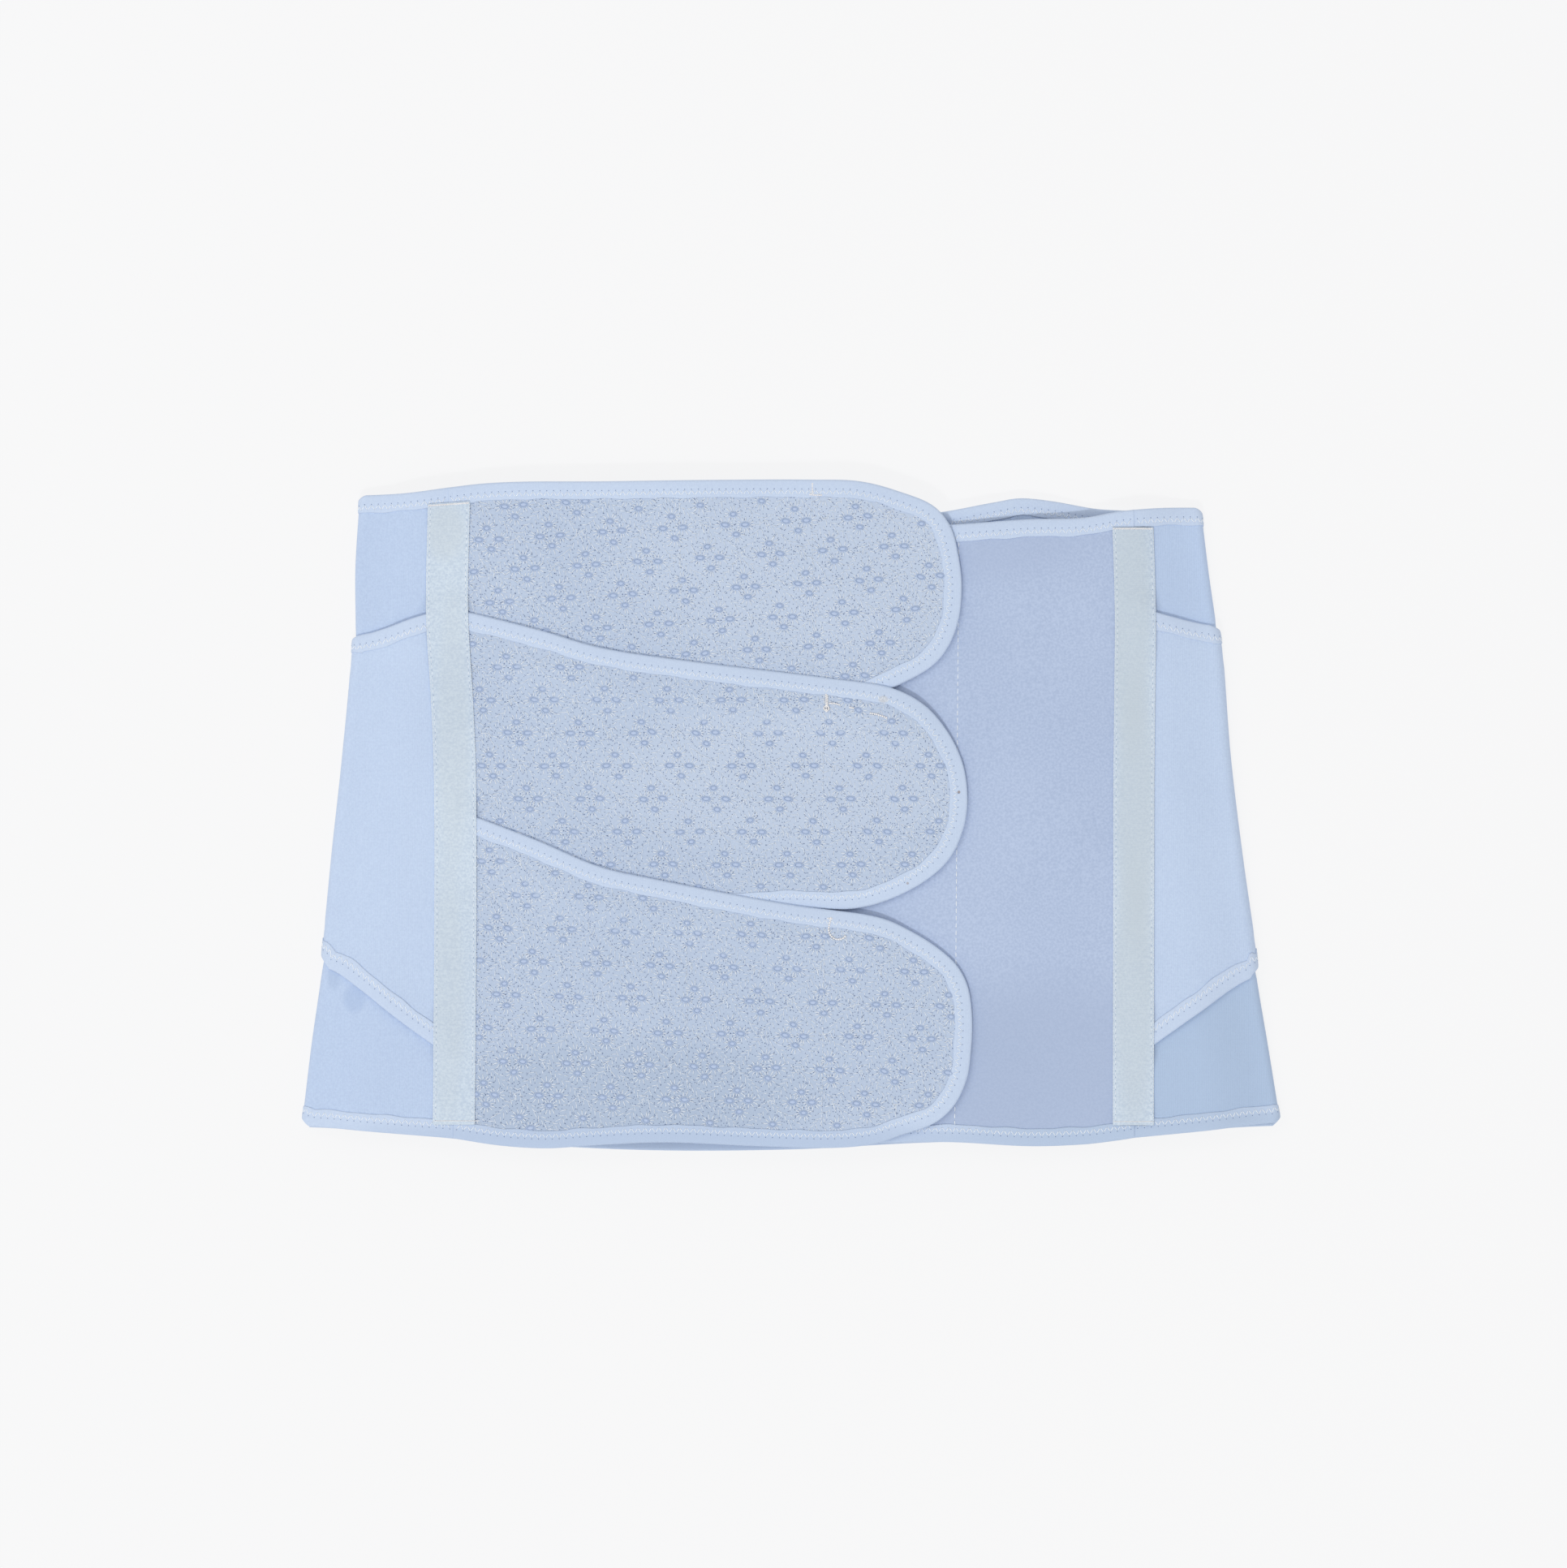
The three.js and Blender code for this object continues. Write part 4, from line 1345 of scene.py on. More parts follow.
@dataclass
class OverlayBand:
    """The second knit band round the outside of the body."""

    wrap: Wrap
    wardrobe: Wardrobe
    rows: int = 80

    def place(self, at: Array, share: Array, off: Array) -> Array:
        """Place the band between its edges.

        Args:
            at: Places round the wrap.
            share: Shares of the way from the low edge to the high one.
            off: Distances off the middle of the wall.

        Returns:
            Points, one a row.
        """
        low, high = (rim_y(OVERLAY_EDGES, at, column, SLOT) for column in ("low", "high"))
        y = mix(low, high, share)
        return self.wrap.point(at, y, self.wrap.overlay_off(at, y) + off)

    def edge(self, column: str, at: Array, inset: Array, off: Array) -> Array:
        """Place a binding in from the band's edge."""
        away = self.wrap.overlay_off(at, rim_y(OVERLAY_EDGES, at, column, 0.0))
        return self.wrap.point(at, rim_y(OVERLAY_EDGES, at, column, inset), away + off)

    def build(self) -> None:
        """Lay the band and bind its edges."""
        shares = np.linspace(0, 1, self.rows)
        band = laid_cloth("overlay_cloth", Wrap.stations(*CLOTH_STEPS), shares, self.place, OVERLAY_WALL)
        dress(band, self.wardrobe.of(OVERLAY_KNIT), "knit", "overlay_band")
        edges = []
        for column, side in HEMS.items():
            edge = partial(self.edge, column)
            stations = Wrap.stations(*HEM_STEPS)
            edges += bound_edge(f"overlay_{side}", stations, OVERLAY_WALL, edge, self.wardrobe, LEGS)


@dataclass
class LoopPanel:
    """The fleece panel that the flaps close on. Its stitch line is given in the photo's pixels."""

    wardrobe: Wardrobe
    line_top: tuple[float, float] = (1181.0, 672.0)
    line_bottom: tuple[float, float] = (1176.0, 1386.0)
    line_rows: tuple[float, float] = (8.0, 288.0)
    line_pitch: float = 3.4
    sewn_to: float = 0.62

    @staticmethod
    def point(along: Array, y: Array, off: Array) -> Array:
        """Find points of the panel by their share of its reach."""
        x = tape_x(Side.RIGHT, y) + SEAM - along * LOOP_REACH
        return np.stack([x, y, FRONT_LEVEL + ripple(x, y) + off], axis=-1)

    def place(self, along: Array, share: Array, off: Array) -> Array:
        """Place the fleece between its hems.

        Args:
            along: Shares of the reach from the tape.
            share: Shares of the way from the low edge to the high one.
            off: Distances off the middle of the wall.

        Returns:
            Points, one a row.
        """
        low = HEIGHT * spline(LOOP_HEMS, "along", along, "low") + SLOT
        high = HEIGHT * spline(LOOP_HEMS, "along", along, "high") - SLOT
        return self.point(along, mix(low, high, share), off)

    def edge(self, column: str, along: Array, inset: Array, off: Array) -> Array:
        """Place a binding in from its hem.

        Args:
            column: Which hem, low or high.
            along: Shares of the reach from the tape.
            inset: Distances in from it.
            off: Distances off the middle of the wall.

        Returns:
            Points, one a row.
        """
        inward = 1 if column == "low" else -1
        y = HEIGHT * spline(LOOP_HEMS, "along", along, column) + inward * inset
        return self.point(along, y, off)

    def stitch_line(self) -> bpy.types.Object:
        """Sew the straight line down the panel.

        Returns:
            The stitches.
        """
        y = np.arange(*self.line_rows, self.line_pitch)
        x0, top = from_photo(*self.line_top)
        x1, bottom = from_photo(*self.line_bottom)
        x = np.interp(y, [bottom, top], [x1, x0])
        z = FRONT_LEVEL + ripple(x, y) + LOOP_WALL / 2 + 0.02
        start = np.stack([x, y, z], axis=-1)
        line = Stitching(Bead.STITCH)
        line.add(start, start + np.array([0.02, 3.0, 0]), UP, 0.52, 0.4)
        return dress(line.build("fleece_stitch_line"), self.wardrobe.of(ZIGZAG), "fleece")

    def build(self) -> None:
        """Lay the panel, bind it and sew its stitch line."""
        columns, rows = np.linspace(0, 1, 84), np.linspace(0, 1, 96)
        fleece = laid_cloth("fleece_panel", columns, rows, self.place, LOOP_WALL)
        dress(fleece, self.wardrobe.of(FLEECE), "fleece", "loop_panel")
        extras = []
        for column, side in HEMS.items():
            edge = partial(self.edge, column)
            stations = np.linspace(0, 1, 110)
            extras += bound_edge(f"loop_{side}", stations, LOOP_WALL, edge, self.wardrobe, self.sewn_to)
        extras.append(self.stitch_line())


class Braid(Enum):
    """The lattice's two directions: the angles of a braid's strokes, in turn, and their lengths."""

    FALL = ((0.55, -0.4), (8.4, 6.8))
    RISE = ((0.64, -0.92), (8.8, 8.2))


@dataclass
class Embroidery:
    """The stitches of one flap: clusters of four eyelets within a diamond lattice.

    Lengths and distances are in the photo's pixels, widths and heights in millimetres.
    """

    flap: Flap
    cover: Flap | None
    seed: int
    ray_count: int = 12
    ray_length: float = 5.2
    ray_growth: float = 3.4
    ray_width: float = 0.68
    ray_gap: float = 0.9
    shade_gap: float = 2.4
    shade_width: float = 0.28
    stroke_pitch: float = 3.2
    stroke_shift: float = 2.6
    stroke_width: float = 0.52
    hole_pitch: float = 5.7
    hole_shift: float = 6.2
    tape_lap: float = 1.5
    margin: float = 25.0
    reach: int = 12

    def __post_init__(self) -> None:
        """Seed the small irregularities and start the stitches."""
        self.random = np.random.default_rng(self.seed)
        self.threads = Stitching(Bead.STITCH)
        # Needle holes, and dark strokes of painted shade between threads
        self.holes = Stitching(Bead.DOT)
        self.petals = Stitching(Bead.EYELET)

    def shows(self, x: Array, y: Array, margin: float) -> Array:
        """Say which places are on the flap and not under the next one or the tape.

        Args:
            x: Places across the binder.
            y: Heights up the binder.
            margin: How far inside the outline they have to be.

        Returns:
            True for each place that shows.
        """
        seen = self.flap.holds(x, y, margin) & (x > tape_x(Side.LEFT, y) + TAPE_WIDTH / 2 - self.tape_lap)
        if self.cover is not None:
            seen &= ~self.cover.holds(x, y, COVER_MARGIN)
        return seen

    def lift(self, pixels: Array, off: float) -> Array:
        """Put photo places on the flap's face."""
        x, y = from_photo(pixels[:, 0], pixels[:, 1])
        return self.flap.on_top(x, y, FLAP_WALL / 2 + off)

    def sew(self, start: Array, end: Array, width: float) -> None:
        """Sew stitches between photo places that show.

        Args:
            start: Their first ends.
            end: Their other ends.
            width: Their width.
        """
        keep = self.shows(*from_photo(*(start + end).T / 2), BINDING_WIDTH - 0.4)
        if keep.any():
            start, end = self.lift(start[keep], 0.06), self.lift(end[keep], 0.06)
            self.threads.add(start, end, UP, width, THREAD_HEIGHT)

    def shade(self, start: Array, end: Array) -> None:
        """Paint shade between threads: dark strokes from photo places to others.

        Args:
            start: Their first ends.
            end: Their other ends.
        """
        keep = self.shows(*from_photo(*(start + end).T / 2), BINDING_WIDTH)
        if keep.any():
            start, end = self.lift(start[keep], 0.03), self.lift(end[keep], 0.03)
            self.holes.add(start, end, UP, self.shade_width, HOLE_DEPTH)

    def prick(self, spots: Array, size: float) -> None:
        """Make needle holes at photo places that show.

        Args:
            spots: The holes' places.
            size: Their width in millimetres.
        """
        keep = self.shows(*from_photo(spots[:, 0], spots[:, 1]), BINDING_WIDTH - 0.2)
        if keep.any():
            centre = self.lift(spots[keep], 0.03)
            reach = np.array([size / 2, 0, 0])
            self.holes.add(centre - reach, centre + reach, UP, size, HOLE_DEPTH)

    def rays(self, middle: Array, away: Array, half: Array) -> None:
        """Sew the ring of rays round an oval, longer on its outer side.

        Args:
            middle: The oval's middle.
            away: The heading away from the cluster's middle.
            half: Half the oval's width and height.
        """
        count = self.ray_count
        turn = np.arange(count) / count * 2 * math.pi + self.random.uniform(0, 0.5)
        turn += self.random.normal(0, 0.07, count)
        ray = headings(turn)
        reach = self.ray_length + self.ray_growth * (1 + ray @ away) / 2 + self.random.normal(0, 0.5, count)
        start = middle + ray * (half + self.ray_gap)
        end = start + ray * (reach[:, None] - 0.4)
        self.sew(start, end, self.ray_width)
        outer = self.random.random(count) < 0.5
        self.prick(end[outer] + ray[outer] * 0.8, 0.46)
        # Dark strokes of painted shade between some of the rays
        between = headings(turn + math.pi / count)[self.random.random(count) < 0.4]
        near = middle + between * (half + self.shade_gap)
        self.shade(near, near + between * self.random.uniform(1.5, 3.6, (len(between), 1)))

    def eyelet(self, middle: Array, across: Array, half: Array) -> None:
        """Set an oval's eyelet, where it shows.

        Args:
            middle: The oval's middle.
            across: The heading of its width.
            half: Half its width and height.
        """
        if self.shows(*from_photo(middle[:1], middle[1:]), BINDING_WIDTH + 0.6)[0]:
            base = self.lift(middle[None], 0.05)
            wide, high = half / PIXELS_PER_MM
            turn = math.atan2(-across[1], across[0]) + self.random.normal(-0.1, 0.12)
            tilt = wide * np.array([[math.cos(turn), math.sin(turn), 0.0]])
            self.petals.add(base - tilt, base + tilt, UP, 2 * high, 1.0)

    def cluster(self, centre: Array, across: Array, down: Array) -> None:
        """Sew one cluster: four bare ovals, each with a ring of rays.

        Args:
            centre: Its middle.
            across: The heading of its width.
            down: The heading of its height.
        """
        for shift_x, shift_y, wide, high in OVALS:
            middle = centre + across * shift_x + down * shift_y + self.random.normal(0, 0.4, 2)
            away = np.array([shift_x, shift_y]) / math.hypot(shift_x, shift_y)
            half = np.array([wide, high])
            self.rays(middle, away, half)
            self.eyelet(middle, across, half)
        if self.random.random() < 0.8:
            self.prick(centre[None] + self.random.normal(0, 0.8, (1, 2)), 0.75)

    def band(self, start: Array, end: Array, braid: Braid) -> None:
        """Sew one edge of the lattice: a braid of crossed strokes with needle holes along both sides.

        Args:
            start: The edge's first end.
            end: Its other end.
            braid: How its strokes lie.
        """
        slants, lengths = braid.value
        run = end - start
        size = float(np.hypot(*run))
        side = np.array([-run[1], run[0]]) / size
        count = max(2, round(size / self.stroke_pitch))
        share = (np.arange(count) + 0.5) / count
        odd = np.arange(count) % 2
        shift = self.random.normal(0, 1.5, count) + self.stroke_shift - 2 * self.stroke_shift * odd
        middle = start + run * share[:, None] + side * shift[:, None]
        turn = math.atan2(run[1], run[0]) + np.where(odd == 0, *slants) + self.random.normal(0, 0.2, count)
        stroke = headings(turn)
        half = (np.where(odd == 0, *lengths) / 2 + self.random.normal(0, 0.9, count))[:, None]
        self.sew(middle - stroke * half, middle + stroke * half, self.stroke_width)
        # Dark strokes of painted shade across some of the strokes' ends
        ends = middle + stroke * (half + 0.9)
        some = self.random.random(count) < 0.55
        self.shade(ends[some] + side * 1.3, ends[some] - side * 1.3)
        hole_count = round(size / self.hole_pitch)
        along = (np.arange(hole_count) + 0.5) / hole_count
        for sign in (-1, 1):
            spots = start + run * along[:, None] + side * sign * self.hole_shift
            self.prick(spots + self.random.normal(0, 0.8, spots.shape), 0.5)
        inner = start + run * self.random.uniform(0, 1, (max(1, count // 3), 1))
        self.prick(inner + self.random.normal(0, 1.6, inner.shape), 0.44)

    def build(self, wardrobe: Wardrobe) -> list[bpy.types.Object]:
        """Sew the whole flap.

        Args:
            wardrobe: The materials.

        Returns:
            The threads, the needle holes with the dark strokes of painted shade, and the eyelets.
        """
        lattice = self.flap.lattice
        origin, step, drop = (np.array(values) for values in (lattice.start, lattice.across, lattice.down))
        other = step + drop
        across = step / np.hypot(*step)
        down = (drop + other) / np.hypot(*(drop + other))
        root = np.linspace(self.flap.line[0], self.flap.line[-1], 40)
        ring = np.vstack([self.flap.line[::4], root])
        for i in range(-self.reach, self.reach + 1):
            for j in range(-self.reach, self.reach + 1):
                centre = origin + step * i + drop * j
                x, y = from_photo(centre[:1], centre[1:])
                away = np.hypot(ring[:, 0] - x, ring[:, 1] - y).min()
                if away > self.margin and not self.shows(x, y, 0.0)[0]:
                    continue
                self.cluster(centre, across, down)
                corner = centre + step / 2
                self.band(corner - other, corner, Braid.FALL)
                self.band(corner, corner + drop, Braid.RISE)
        name = self.flap.name
        return [
            dress(self.threads.build(f"{name}_embroidery"), wardrobe.of(THREAD), "embroidery"),
            dress(self.holes.build(f"{name}_needle_holes_and_painted_shade"), wardrobe.of(NEEDLE_HOLES_AND_PAINTED_SHADE), "embroidery"),
            dress(self.petals.build(f"{name}_eyelets"), wardrobe.of(PETAL), "embroidery"),
        ]


# Bar tacks, the hook pad's stitches and a loose thread end, in the photo's pixels
TACKS = {
    "upper_flap": (
        ((1001, 596), (1001, 602), (1001, 609)),
        ((997, 610), (1004, 611), (1013, 611)),
    ),
    "middle_flap": (
        ((1018, 855), (1017.5, 862), (1018, 870), (1018, 878)),
        ((1019.5, 857), (1019, 864), (1019.5, 871)),
        ((1014.5, 873), (1018, 869.5), (1021.5, 873), (1018, 876.5), (1014.5, 873)),
        ((1021, 867), (1028, 867), (1035, 869)),
        ((1046, 872), (1052, 873)),
        ((1071, 879), (1078, 880), (1085, 882), (1093, 885)),
    ),
    "lower_flap": (
        ((1024, 1129), (1022, 1137), (1021, 1146), (1024, 1153), (1031, 1157), (1038, 1156), (1042, 1152)),
        ((1019, 1131), (1026, 1132)),
    ),
}


@dataclass
class Flaps:
    """The three embroidered flaps, each over the one above it."""

    wardrobe: Wardrobe
    upper: Flap = field(default_factory=lambda: Flap(
        "upper_flap", UPPER_TOP, UPPER_BOTTOM, None, (0.10, 0.242), ((1000, 1007), (838, 841)),
        Lattice((905.5, 646.7), (75.6, -4.5), (-31.0, 40.8))))
    middle: Flap = field(default_factory=lambda: Flap(
        "middle_flap", MIDDLE_TOP, MIDDLE_BOTTOM, 0.857, (0.138, 0.24), ((1018, 1009), (834, 838)),
        Lattice((715.5, 903.0), (77.0, 0.0), (-32.2, 40.5))))
    lower: Flap = field(default_factory=lambda: Flap(
        "lower_flap", LOWER_TOP, LOWER_BOTTOM, 0.775, (0.152, 0.243), ((1022, 1012), (842, 848)),
        Lattice((970.0, 1192.7), (78.0, 2.0), (-34.4, 40.1))))
    line_pitch: float = 2.7
    line_stitch: float = 2.1
    seed: int = 11

    def lines(self, flap: Flap, cover: Flap | None) -> bpy.types.Object:
        """Sew a flap's two straight lines of white stitches.

        Args:
            flap: The flap.
            cover: The flap that lies over it, if any.

        Returns:
            The stitches.
        """
        thread = Stitching(Bead.STITCH)
        for high, low in flap.columns:
            y = np.arange(2.0, HEIGHT, self.line_pitch)
            px = np.interp(y, [0, HEIGHT], [low, high])
            x, _ = from_photo(px, px)
            keep = flap.holds(x, y, BINDING_WIDTH + 1.0)
            if cover is not None:
                keep &= ~cover.holds(x, y, COVER_MARGIN)
            x, y = x[keep], y[keep]
            start = flap.on_top(x, y, FLAP_WALL / 2 + 0.16)
            end = flap.on_top(x, y + self.line_stitch, FLAP_WALL / 2 + 0.16)
            thread.add(start, end, UP, 0.5, THREAD_HEIGHT)
        return dress(thread.build(f"{flap.name}_lines"), self.wardrobe.of(THREAD), "embroidery")

    def tacks(self, flap: Flap) -> bpy.types.Object:
        """Sew a flap's bar tacks and the hook pad's white stitches.

        Args:
            flap: The flap.

        Returns:
            The stitches.
        """
        thread = Stitching(Bead.STITCH)
        for path in TACKS[flap.name]:
            x, y = from_photo(*np.array(path, float).T)
            line = curve_through(np.stack([x, y], axis=-1), max(2, round(len(path) * 2.2)))
            laid = flap.on_top(line[:, 0], line[:, 1], FLAP_WALL / 2 + 0.5)
            thread.add(laid[:-1], laid[1:], UP, 1.1, 0.6)
        return dress(thread.build(f"{flap.name}_tacks"), self.wardrobe.of(WHITE), "embroidery")

    def hook_pad(self, flap: Flap) -> bpy.types.Object:
        """Lay the hook pad under a flap's tip.

        Args:
            flap: The flap.

        Returns:
            The pad.
        """
        name = flap.name.replace("flap", "hooks")
        columns, rows = np.linspace(HOOK_START, HOOK_END, 20), np.linspace(0, 1, 30)
        pad = laid_cloth(name, columns, rows, flap.pad_place, HOOK_WALL)
        return dress(pad, self.wardrobe.of(HOOKS), "hook", flap.name.replace("flap", "hook_pad"))

    def build(self) -> None:
        """Lay, bind and embroider each flap."""
        pairs = ((self.upper, self.middle), (self.middle, self.lower), (self.lower, None))
        for number, (flap, cover) in enumerate(pairs):
            name = flap.name
            ks = np.linspace(0, flap.steps, 221)
            rings = np.concatenate([[0, 0.03], np.linspace(0.08, 1, 26)])
            cloth = laid_cloth(f"{name}_cloth", ks, rings, flap.cloth_place, FLAP_WALL, weld=True)
            dress(cloth, self.wardrobe.of(GROUND), "embroidery", name)
            strip = folded_binding(f"{name}_hem", ks, FLAP_WALL, flap.binding_place)
            dress(strip, self.wardrobe.of(BINDING), "binding", f"{name}_binding")
            extras = [strip, self.hook_pad(flap), self.lines(flap, cover), self.tacks(flap)]
            extras += EdgeStitches(self.wardrobe).sew(name, flap.binding_place, FLAP_WALL, 0, flap.steps)
            extras += Embroidery(flap, cover, self.seed + number).build(self.wardrobe)
            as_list(extras)


@dataclass
class Tape:
    """A woven elastic tape over one of the seams, placed in millimetres."""

    wrap: Wrap
    wardrobe: Wardrobe
    flaps: Flaps
    side: Side
    seam: float
    inward: int
    below: str
    narrow: float
    shift: float
    foot: float
    head: float
    foot_stitches: float
    slope: float = 0.0
    slope_length: float = 12.0
    rib: float = 0.87
    rib_depth: float = 0.07
    rib_fade: float = 1.2
    settling: float = 5.0
    heights: Array = field(init=False)
    rows: Array = field(init=False)

    def __post_init__(self) -> None:
        """Find where the tape ends, and how high it lies."""
        self.low = float(hem_y(BODY_HEMS, self.seam, "low")) + BINDING_WIDTH - self.foot
        self.high = float(hem_y(BODY_HEMS, self.seam, "high")) - BINDING_WIDTH + self.head
        self.heights = np.linspace(self.low, self.high, 400)
        self.rows = self.levels(self.heights)

    def outside(self, y: Array, dx: float) -> Array:
        """Return how high the wrap's layers reach above the front, a way out from the seam.

        Args:
            y: Heights up the binder.
            dx: Distance out from the seam.

        Returns:
            Heights above the front.
        """
        share = dx / (fold_x(self.side, y) - FOLD_ROUND / 2 - np.abs(tape_x(self.side, y)))
        at = share if self.side is Side.LEFT else LEGS - share
        edge, hem = (
            np.minimum(y - rim_y(table, at, "low", 0.0), rim_y(table, at, "high", 0.0) - y)
            for table in (OVERLAY_EDGES, BODY_HEMS)
        )
        band = self.wrap.overlay_off(at, y)
        band = band + np.where(edge < BINDING_WIDTH * 1.25, half_binding(OVERLAY_WALL), OVERLAY_WALL / 2)
        body = np.where(hem < BINDING_WIDTH, half_binding(BODY_WALL), BODY_WALL / 2)
        front = self.wrap.point(at, y, 0.0)
        return front[:, 2] - ripple(front[:, 0], front[:, 1]) - FRONT_LEVEL + np.where(edge > 0, band, body)

    def inside(self, y: Array, dx: float) -> Array:
        """Return how high the flaps or the loop panel reach above the front, a way in from the seam.

        Args:
            y: Heights up the binder.
            dx: Distance in from the seam.

        Returns:
            Heights above the front.
        """
        if self.side is Side.RIGHT:
            along = np.full_like(y, dx / LOOP_REACH)
            low, high = (HEIGHT * spline(LOOP_HEMS, "along", along, column) for column in ("low", "high"))
            hem = np.minimum(y - low, high - y)
            return np.where(hem < BINDING_WIDTH, half_binding(LOOP_WALL), LOOP_WALL / 2)
        along = np.full_like(y, dx / FLAP_REACH)
        x = tape_x(Side.LEFT, y) + dx
        highest = np.zeros_like(y)
        for flap in (self.flaps.upper, self.flaps.middle, self.flaps.lower):
            low = HEIGHT * spline(flap.bottom, "along", along, "up")
            high = HEIGHT * spline(flap.top, "along", along, "up")
            edge = np.minimum(y - low, high - y)
            skin = np.where(edge < BINDING_WIDTH, half_binding(FLAP_WALL), FLAP_WALL / 2)
            top = flap.level(x, y) - ripple(x, y) - FRONT_LEVEL + skin
            highest = np.maximum(highest, np.where(edge > 0, top, 0.0))
        return highest

    def levels(self, y: Array) -> Array:
        """Find how high the tape lies, on five lines from its outer edge to its inner edge.

        Args:
            y: Even heights up the binder.

        Returns:
            Five rows of heights of its underside.
        """
        lines = [
            [self.outside(y, dx) for dx in (9.0, 10.0)],
            [self.outside(y, dx) for dx in (4.0, 5.0, 6.0)],
            [self.outside(y, 0.5), self.inside(y, 0.5)],
            [self.inside(y, dx) for dx in (4.0, 5.0, 6.0)],
            [self.inside(y, dx) for dx in (8.0, 10.0)],
        ]
        reach = int(self.settling / float(y[1] - y[0]))
        weights = np.hanning(4 * reach + 1)
        soft = []
        for line in lines:
            padded = np.pad(np.max(line, axis=0), reach * 3, mode="edge")
            spread = np.lib.stride_tricks.sliding_window_view(padded, 2 * reach + 1).max(axis=1)
            soft.append(np.convolve(spread, weights / weights.sum(), mode="valid"))
        return FRONT_LEVEL + TOUCH + np.array(soft)

    def place(self, y: Array, dx: Array, off: Array) -> Array:
        """Place the tape's points, ribbed across.

        Args:
            y: Heights up the binder.
            dx: Distances from the tape's middle line.
            off: Distances off the middle of the wall.

        Returns:
            Points, one a row.
        """
        near_head = smooth((y - self.heights[-1] + self.slope_length) / self.slope_length)
        y = y + self.slope * dx * near_head
        x = tape_x(self.side, y) + dx * self.narrow + self.shift
        spot = np.clip((dx * self.inward / (TAPE_WIDTH / 2) + 1) * 2, 0, 3.999)
        line = spot.astype(int)
        levels = [np.interp(y, self.heights, row) for row in self.rows]
        under = mix(np.choose(line, levels), np.choose(line + 1, levels), spot - line)
        edge = smooth((TAPE_WIDTH / 2 - np.abs(dx)) / self.rib_fade)
        ribs = self.rib_depth * np.sin(y / self.rib * 2 * math.pi) * edge
        return np.stack([x, y, under + TAPE_WALL / 2 + ripple(x, y) + ribs + off], axis=-1)

    def line(self, y: Array, dx: float, off: float) -> Array:
        """Return points of a line up the tape, off the middle of its wall."""
        return self.place(y, np.full_like(y, dx), np.full_like(y, off))

    def build(self) -> None:
        """Weave the tape and sew it on."""
        side = self.side.value
        along = np.arange(self.low, self.high, self.rib / 3)
        across = np.array([-10, -9.4, -8.4, -5, 0, 5, 8.4, 9.4, 10.0])
        tape = laid_cloth(f"{side}_elastic", along, across, self.place, TAPE_WALL)
        dress(tape, self.wardrobe.of(ELASTIC), "elastic", f"{side}_tape")
        extras = self.sew()
        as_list(extras)

    def sew(self) -> list[bpy.types.Object]:
        """Sew the long edges and the ends.

        Returns:
            The stitches.
        """
        holes = Stitching(Bead.DOT)
        thread, ends, cord = (Stitching(Bead.STITCH) for _ in range(3))
        face = TAPE_WALL / 2
        y = np.arange(self.low + 2.0, self.high - 1.0, 2.9)
        for dx in (-8.7, 8.7):
            centre = self.line(y, dx, face + 0.02)
            holes.add(centre - [0.2, 0, 0], centre + [0.2, 0, 0], UP, 0.4, HOLE_DEPTH)
            thread.add(self.line(y + 0.4, dx, face), self.line(y + 2.5, dx, face), UP, 0.36, 0.3)
        head = ((self.high - 1.3, 0.7, 9.8), (self.high - 1.0, 0.5, 9.8))
        for foot, rise, last in (*head, (self.low + 1.6, 0.25, self.foot_stitches)):
            dx = np.arange(-9.7, last, 0.55)
            y = foot + np.where(np.arange(len(dx)) % 2 == 0, 0.0, rise)
            points = self.place(y, dx, np.full_like(dx, face + 0.12))
            ends.add(points[:-1], points[1:], UP, 0.5, 0.5)
        y = np.arange(self.low + 0.3, self.high - 1.4, 1.3)
        for dx in (-9.85, 9.85):
            cord.add(self.line(y, dx, face - 0.08), self.line(y + 1.5, dx, face - 0.08), UP, 0.4, 0.4)
        side = self.side.value
        return [
            dress(holes.build(f"{side}_tape_holes"), self.wardrobe.of(HOLE), "elastic"),
            dress(thread.build(f"{side}_tape_thread"), self.wardrobe.of(ZIGZAG), "elastic"),
            dress(cord.build(f"{side}_tape_selvedge"), self.wardrobe.of(SELVEDGE), "elastic"),
            dress(ends.build(f"{side}_tape_ends"), self.wardrobe.of(WHITE), "elastic"),
        ]


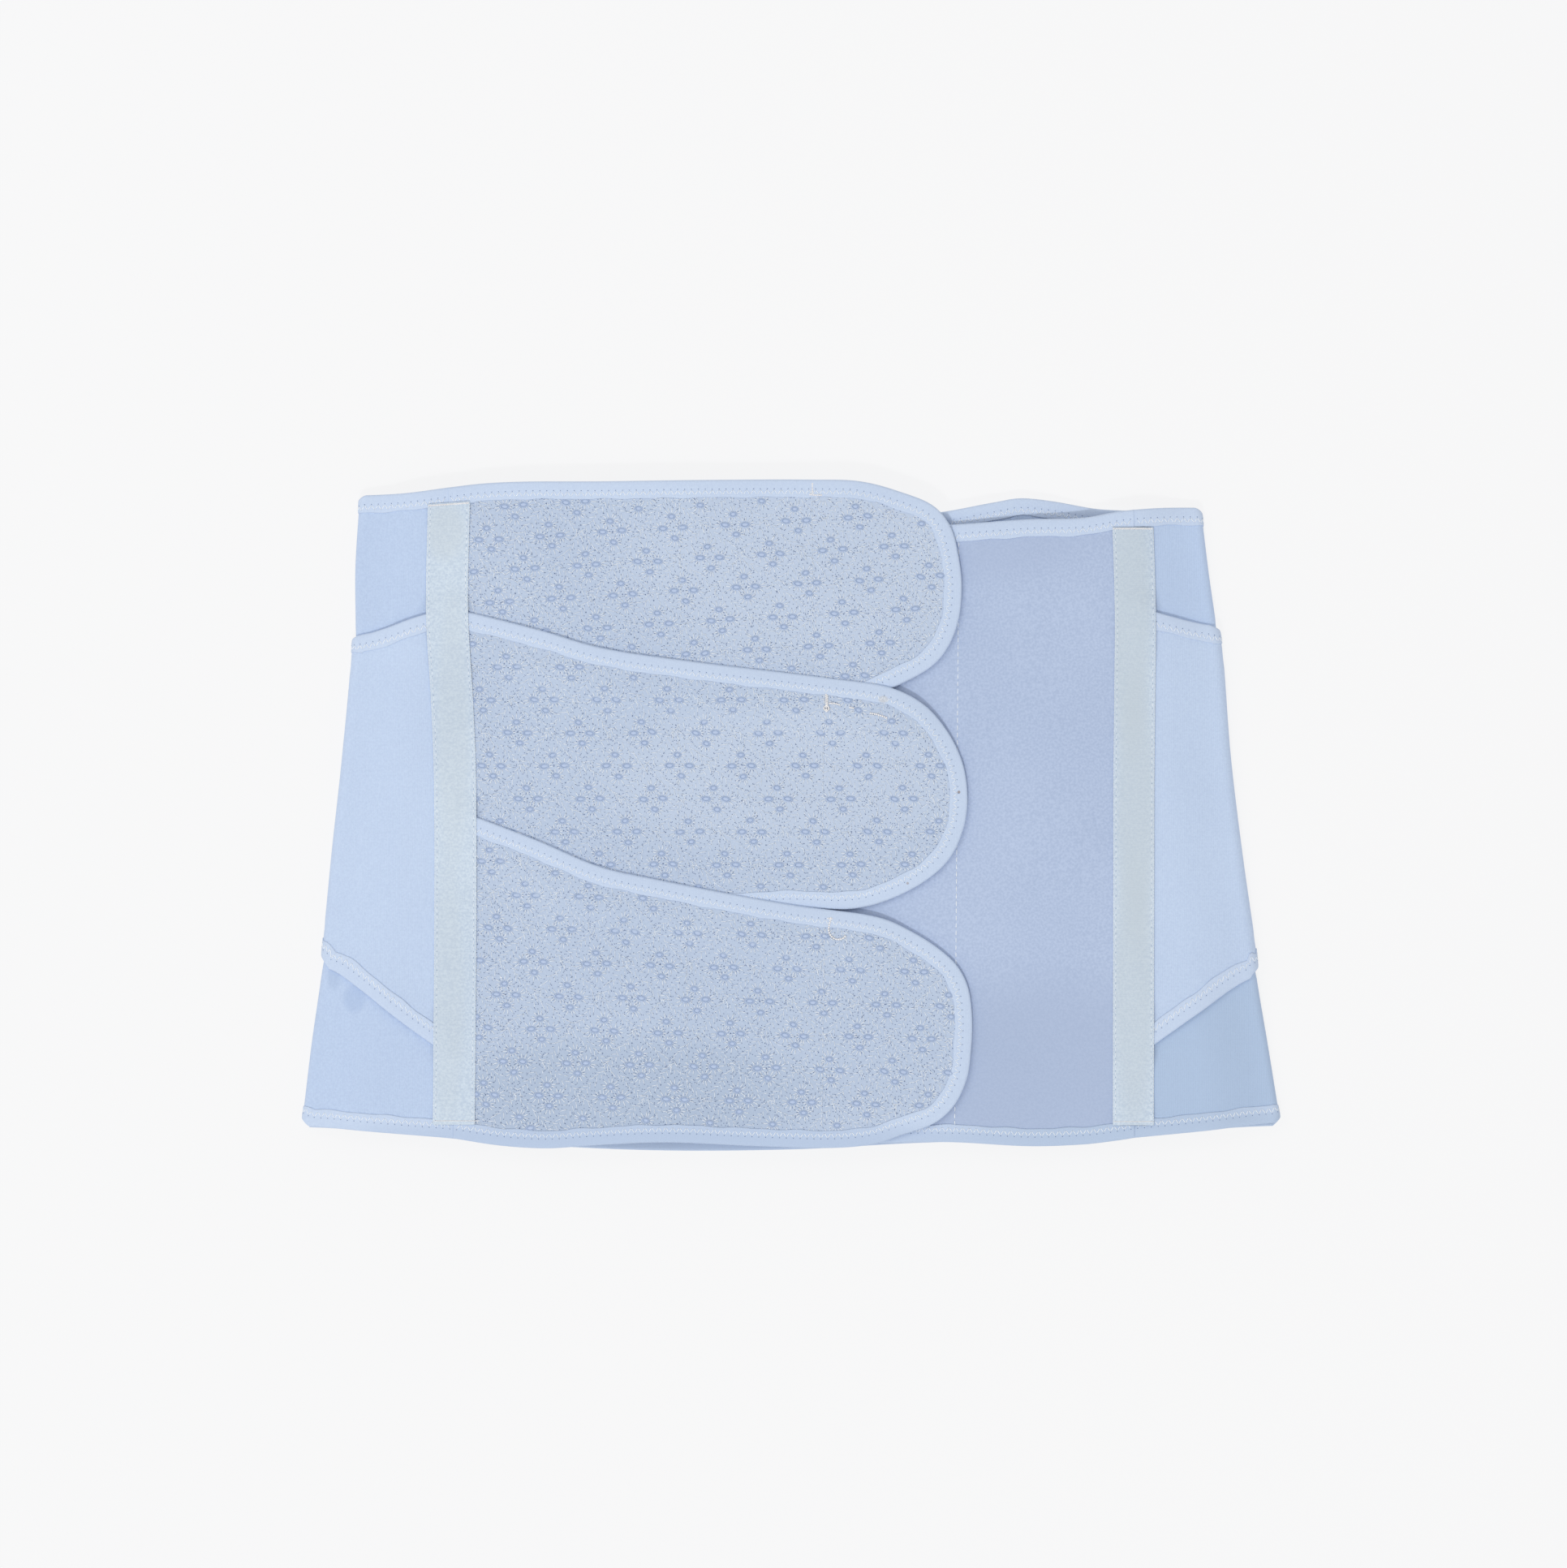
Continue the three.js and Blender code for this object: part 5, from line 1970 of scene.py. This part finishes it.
@dataclass
class Studio:
    """The pale floor, the soft light and the camera straight above."""

    distance: float = 5.0
    sensor: float = 36.0
    view_width: float = 0.7287
    centre: tuple[float, float] = (-0.0036, 0.0143)
    focus_level: float = 0.006
    sky_strength: float = 0.615

    def floor(self) -> None:
        """Lay the floor."""
        bm = bmesh.new()
        bmesh.ops.create_grid(bm, x_segments=1, y_segments=1, size=4.0)
        plane = modelled("floor", bm)
        material = bpy.data.materials.new("pale floor")
        material.use_nodes = True
        surface = {
            "Base Color": (0.10, 0.10, 0.10, 1),
            "Roughness": 1.0,
            "Specular IOR Level": 0.0,
            "Emission Color": (0.93, 0.93, 0.935, 1),
            "Emission Strength": 0.90,
        }
        for name, value in surface.items():
            material.node_tree.nodes["Principled BSDF"].inputs[name].default_value = value
        plane.data.materials.append(material)

    def lights(self) -> None:
        """Set an even sky and one large soft lamp."""
        world = bpy.data.worlds.new("soft sky")
        world.use_nodes = True
        sky = world.node_tree.nodes["Background"]
        sky.inputs["Color"].default_value = (1.0, 1.0, 1.0, 1)
        sky.inputs["Strength"].default_value = self.sky_strength
        bpy.context.scene.world = world
        self.lamp("key", (-0.5, -2.1, 4.0), 0.42, 58.0)
        self.lamp("overhead", (-0.9, 0.6, 1.6), 1.2, 6.0)

    def lamp(self, name: str, place: tuple[float, float, float], size: float, power: float) -> None:
        """Hang a round soft lamp that faces the binder.

        Args:
            name: Its name.
            place: Where it hangs.
            size: Its width.
            power: Its power in watts.
        """
        data = bpy.data.lights.new(name, "AREA")
        data.shape = "DISK"
        data.size = size
        data.energy = power
        lamp = linked(name, data)
        lamp.location = place
        lamp.rotation_euler = (-Vector(place)).to_track_quat("-Z", "Y").to_euler()

    def camera(self) -> None:
        """Hang the camera over the binder, looking straight down."""
        data = bpy.data.cameras.new("camera")
        data.sensor_width = self.sensor
        data.lens = self.sensor * self.distance / self.view_width
        data.clip_end = 20.0
        camera = linked("camera", data)
        camera.location = (*self.centre, self.distance + self.focus_level)
        bpy.context.scene.camera = camera

    def build(self) -> None:
        """Set the stage."""
        self.floor()
        self.lights()
        self.camera()
        bpy.context.scene.view_settings.view_transform = "Standard"
        bpy.context.scene.view_settings.look = "None"


def main() -> None:
    """Build the binder and its stage in order."""
    wrap = Wrap()
    wardrobe = Wardrobe()
    Studio().build()
    Body(wrap, wardrobe).build()
    OverlayBand(wrap, wardrobe).build()
    LoopPanel(wardrobe).build()
    flaps = Flaps(wardrobe)
    flaps.build()
    Tape(wrap, wardrobe, flaps, Side.LEFT, seam=0.0, inward=1, below="upper_flap_cloth", narrow=0.975,
         shift=0.3, foot=1.8, head=1.3, foot_stitches=12.6, slope=0.07).build()
    Tape(wrap, wardrobe, flaps, Side.RIGHT, seam=float(LEGS), inward=-1, below="fleece_panel", narrow=0.95,
         shift=-0.5, foot=2.4, head=0.3, foot_stitches=9.8).build()


if __name__ == "__main__":
    main()
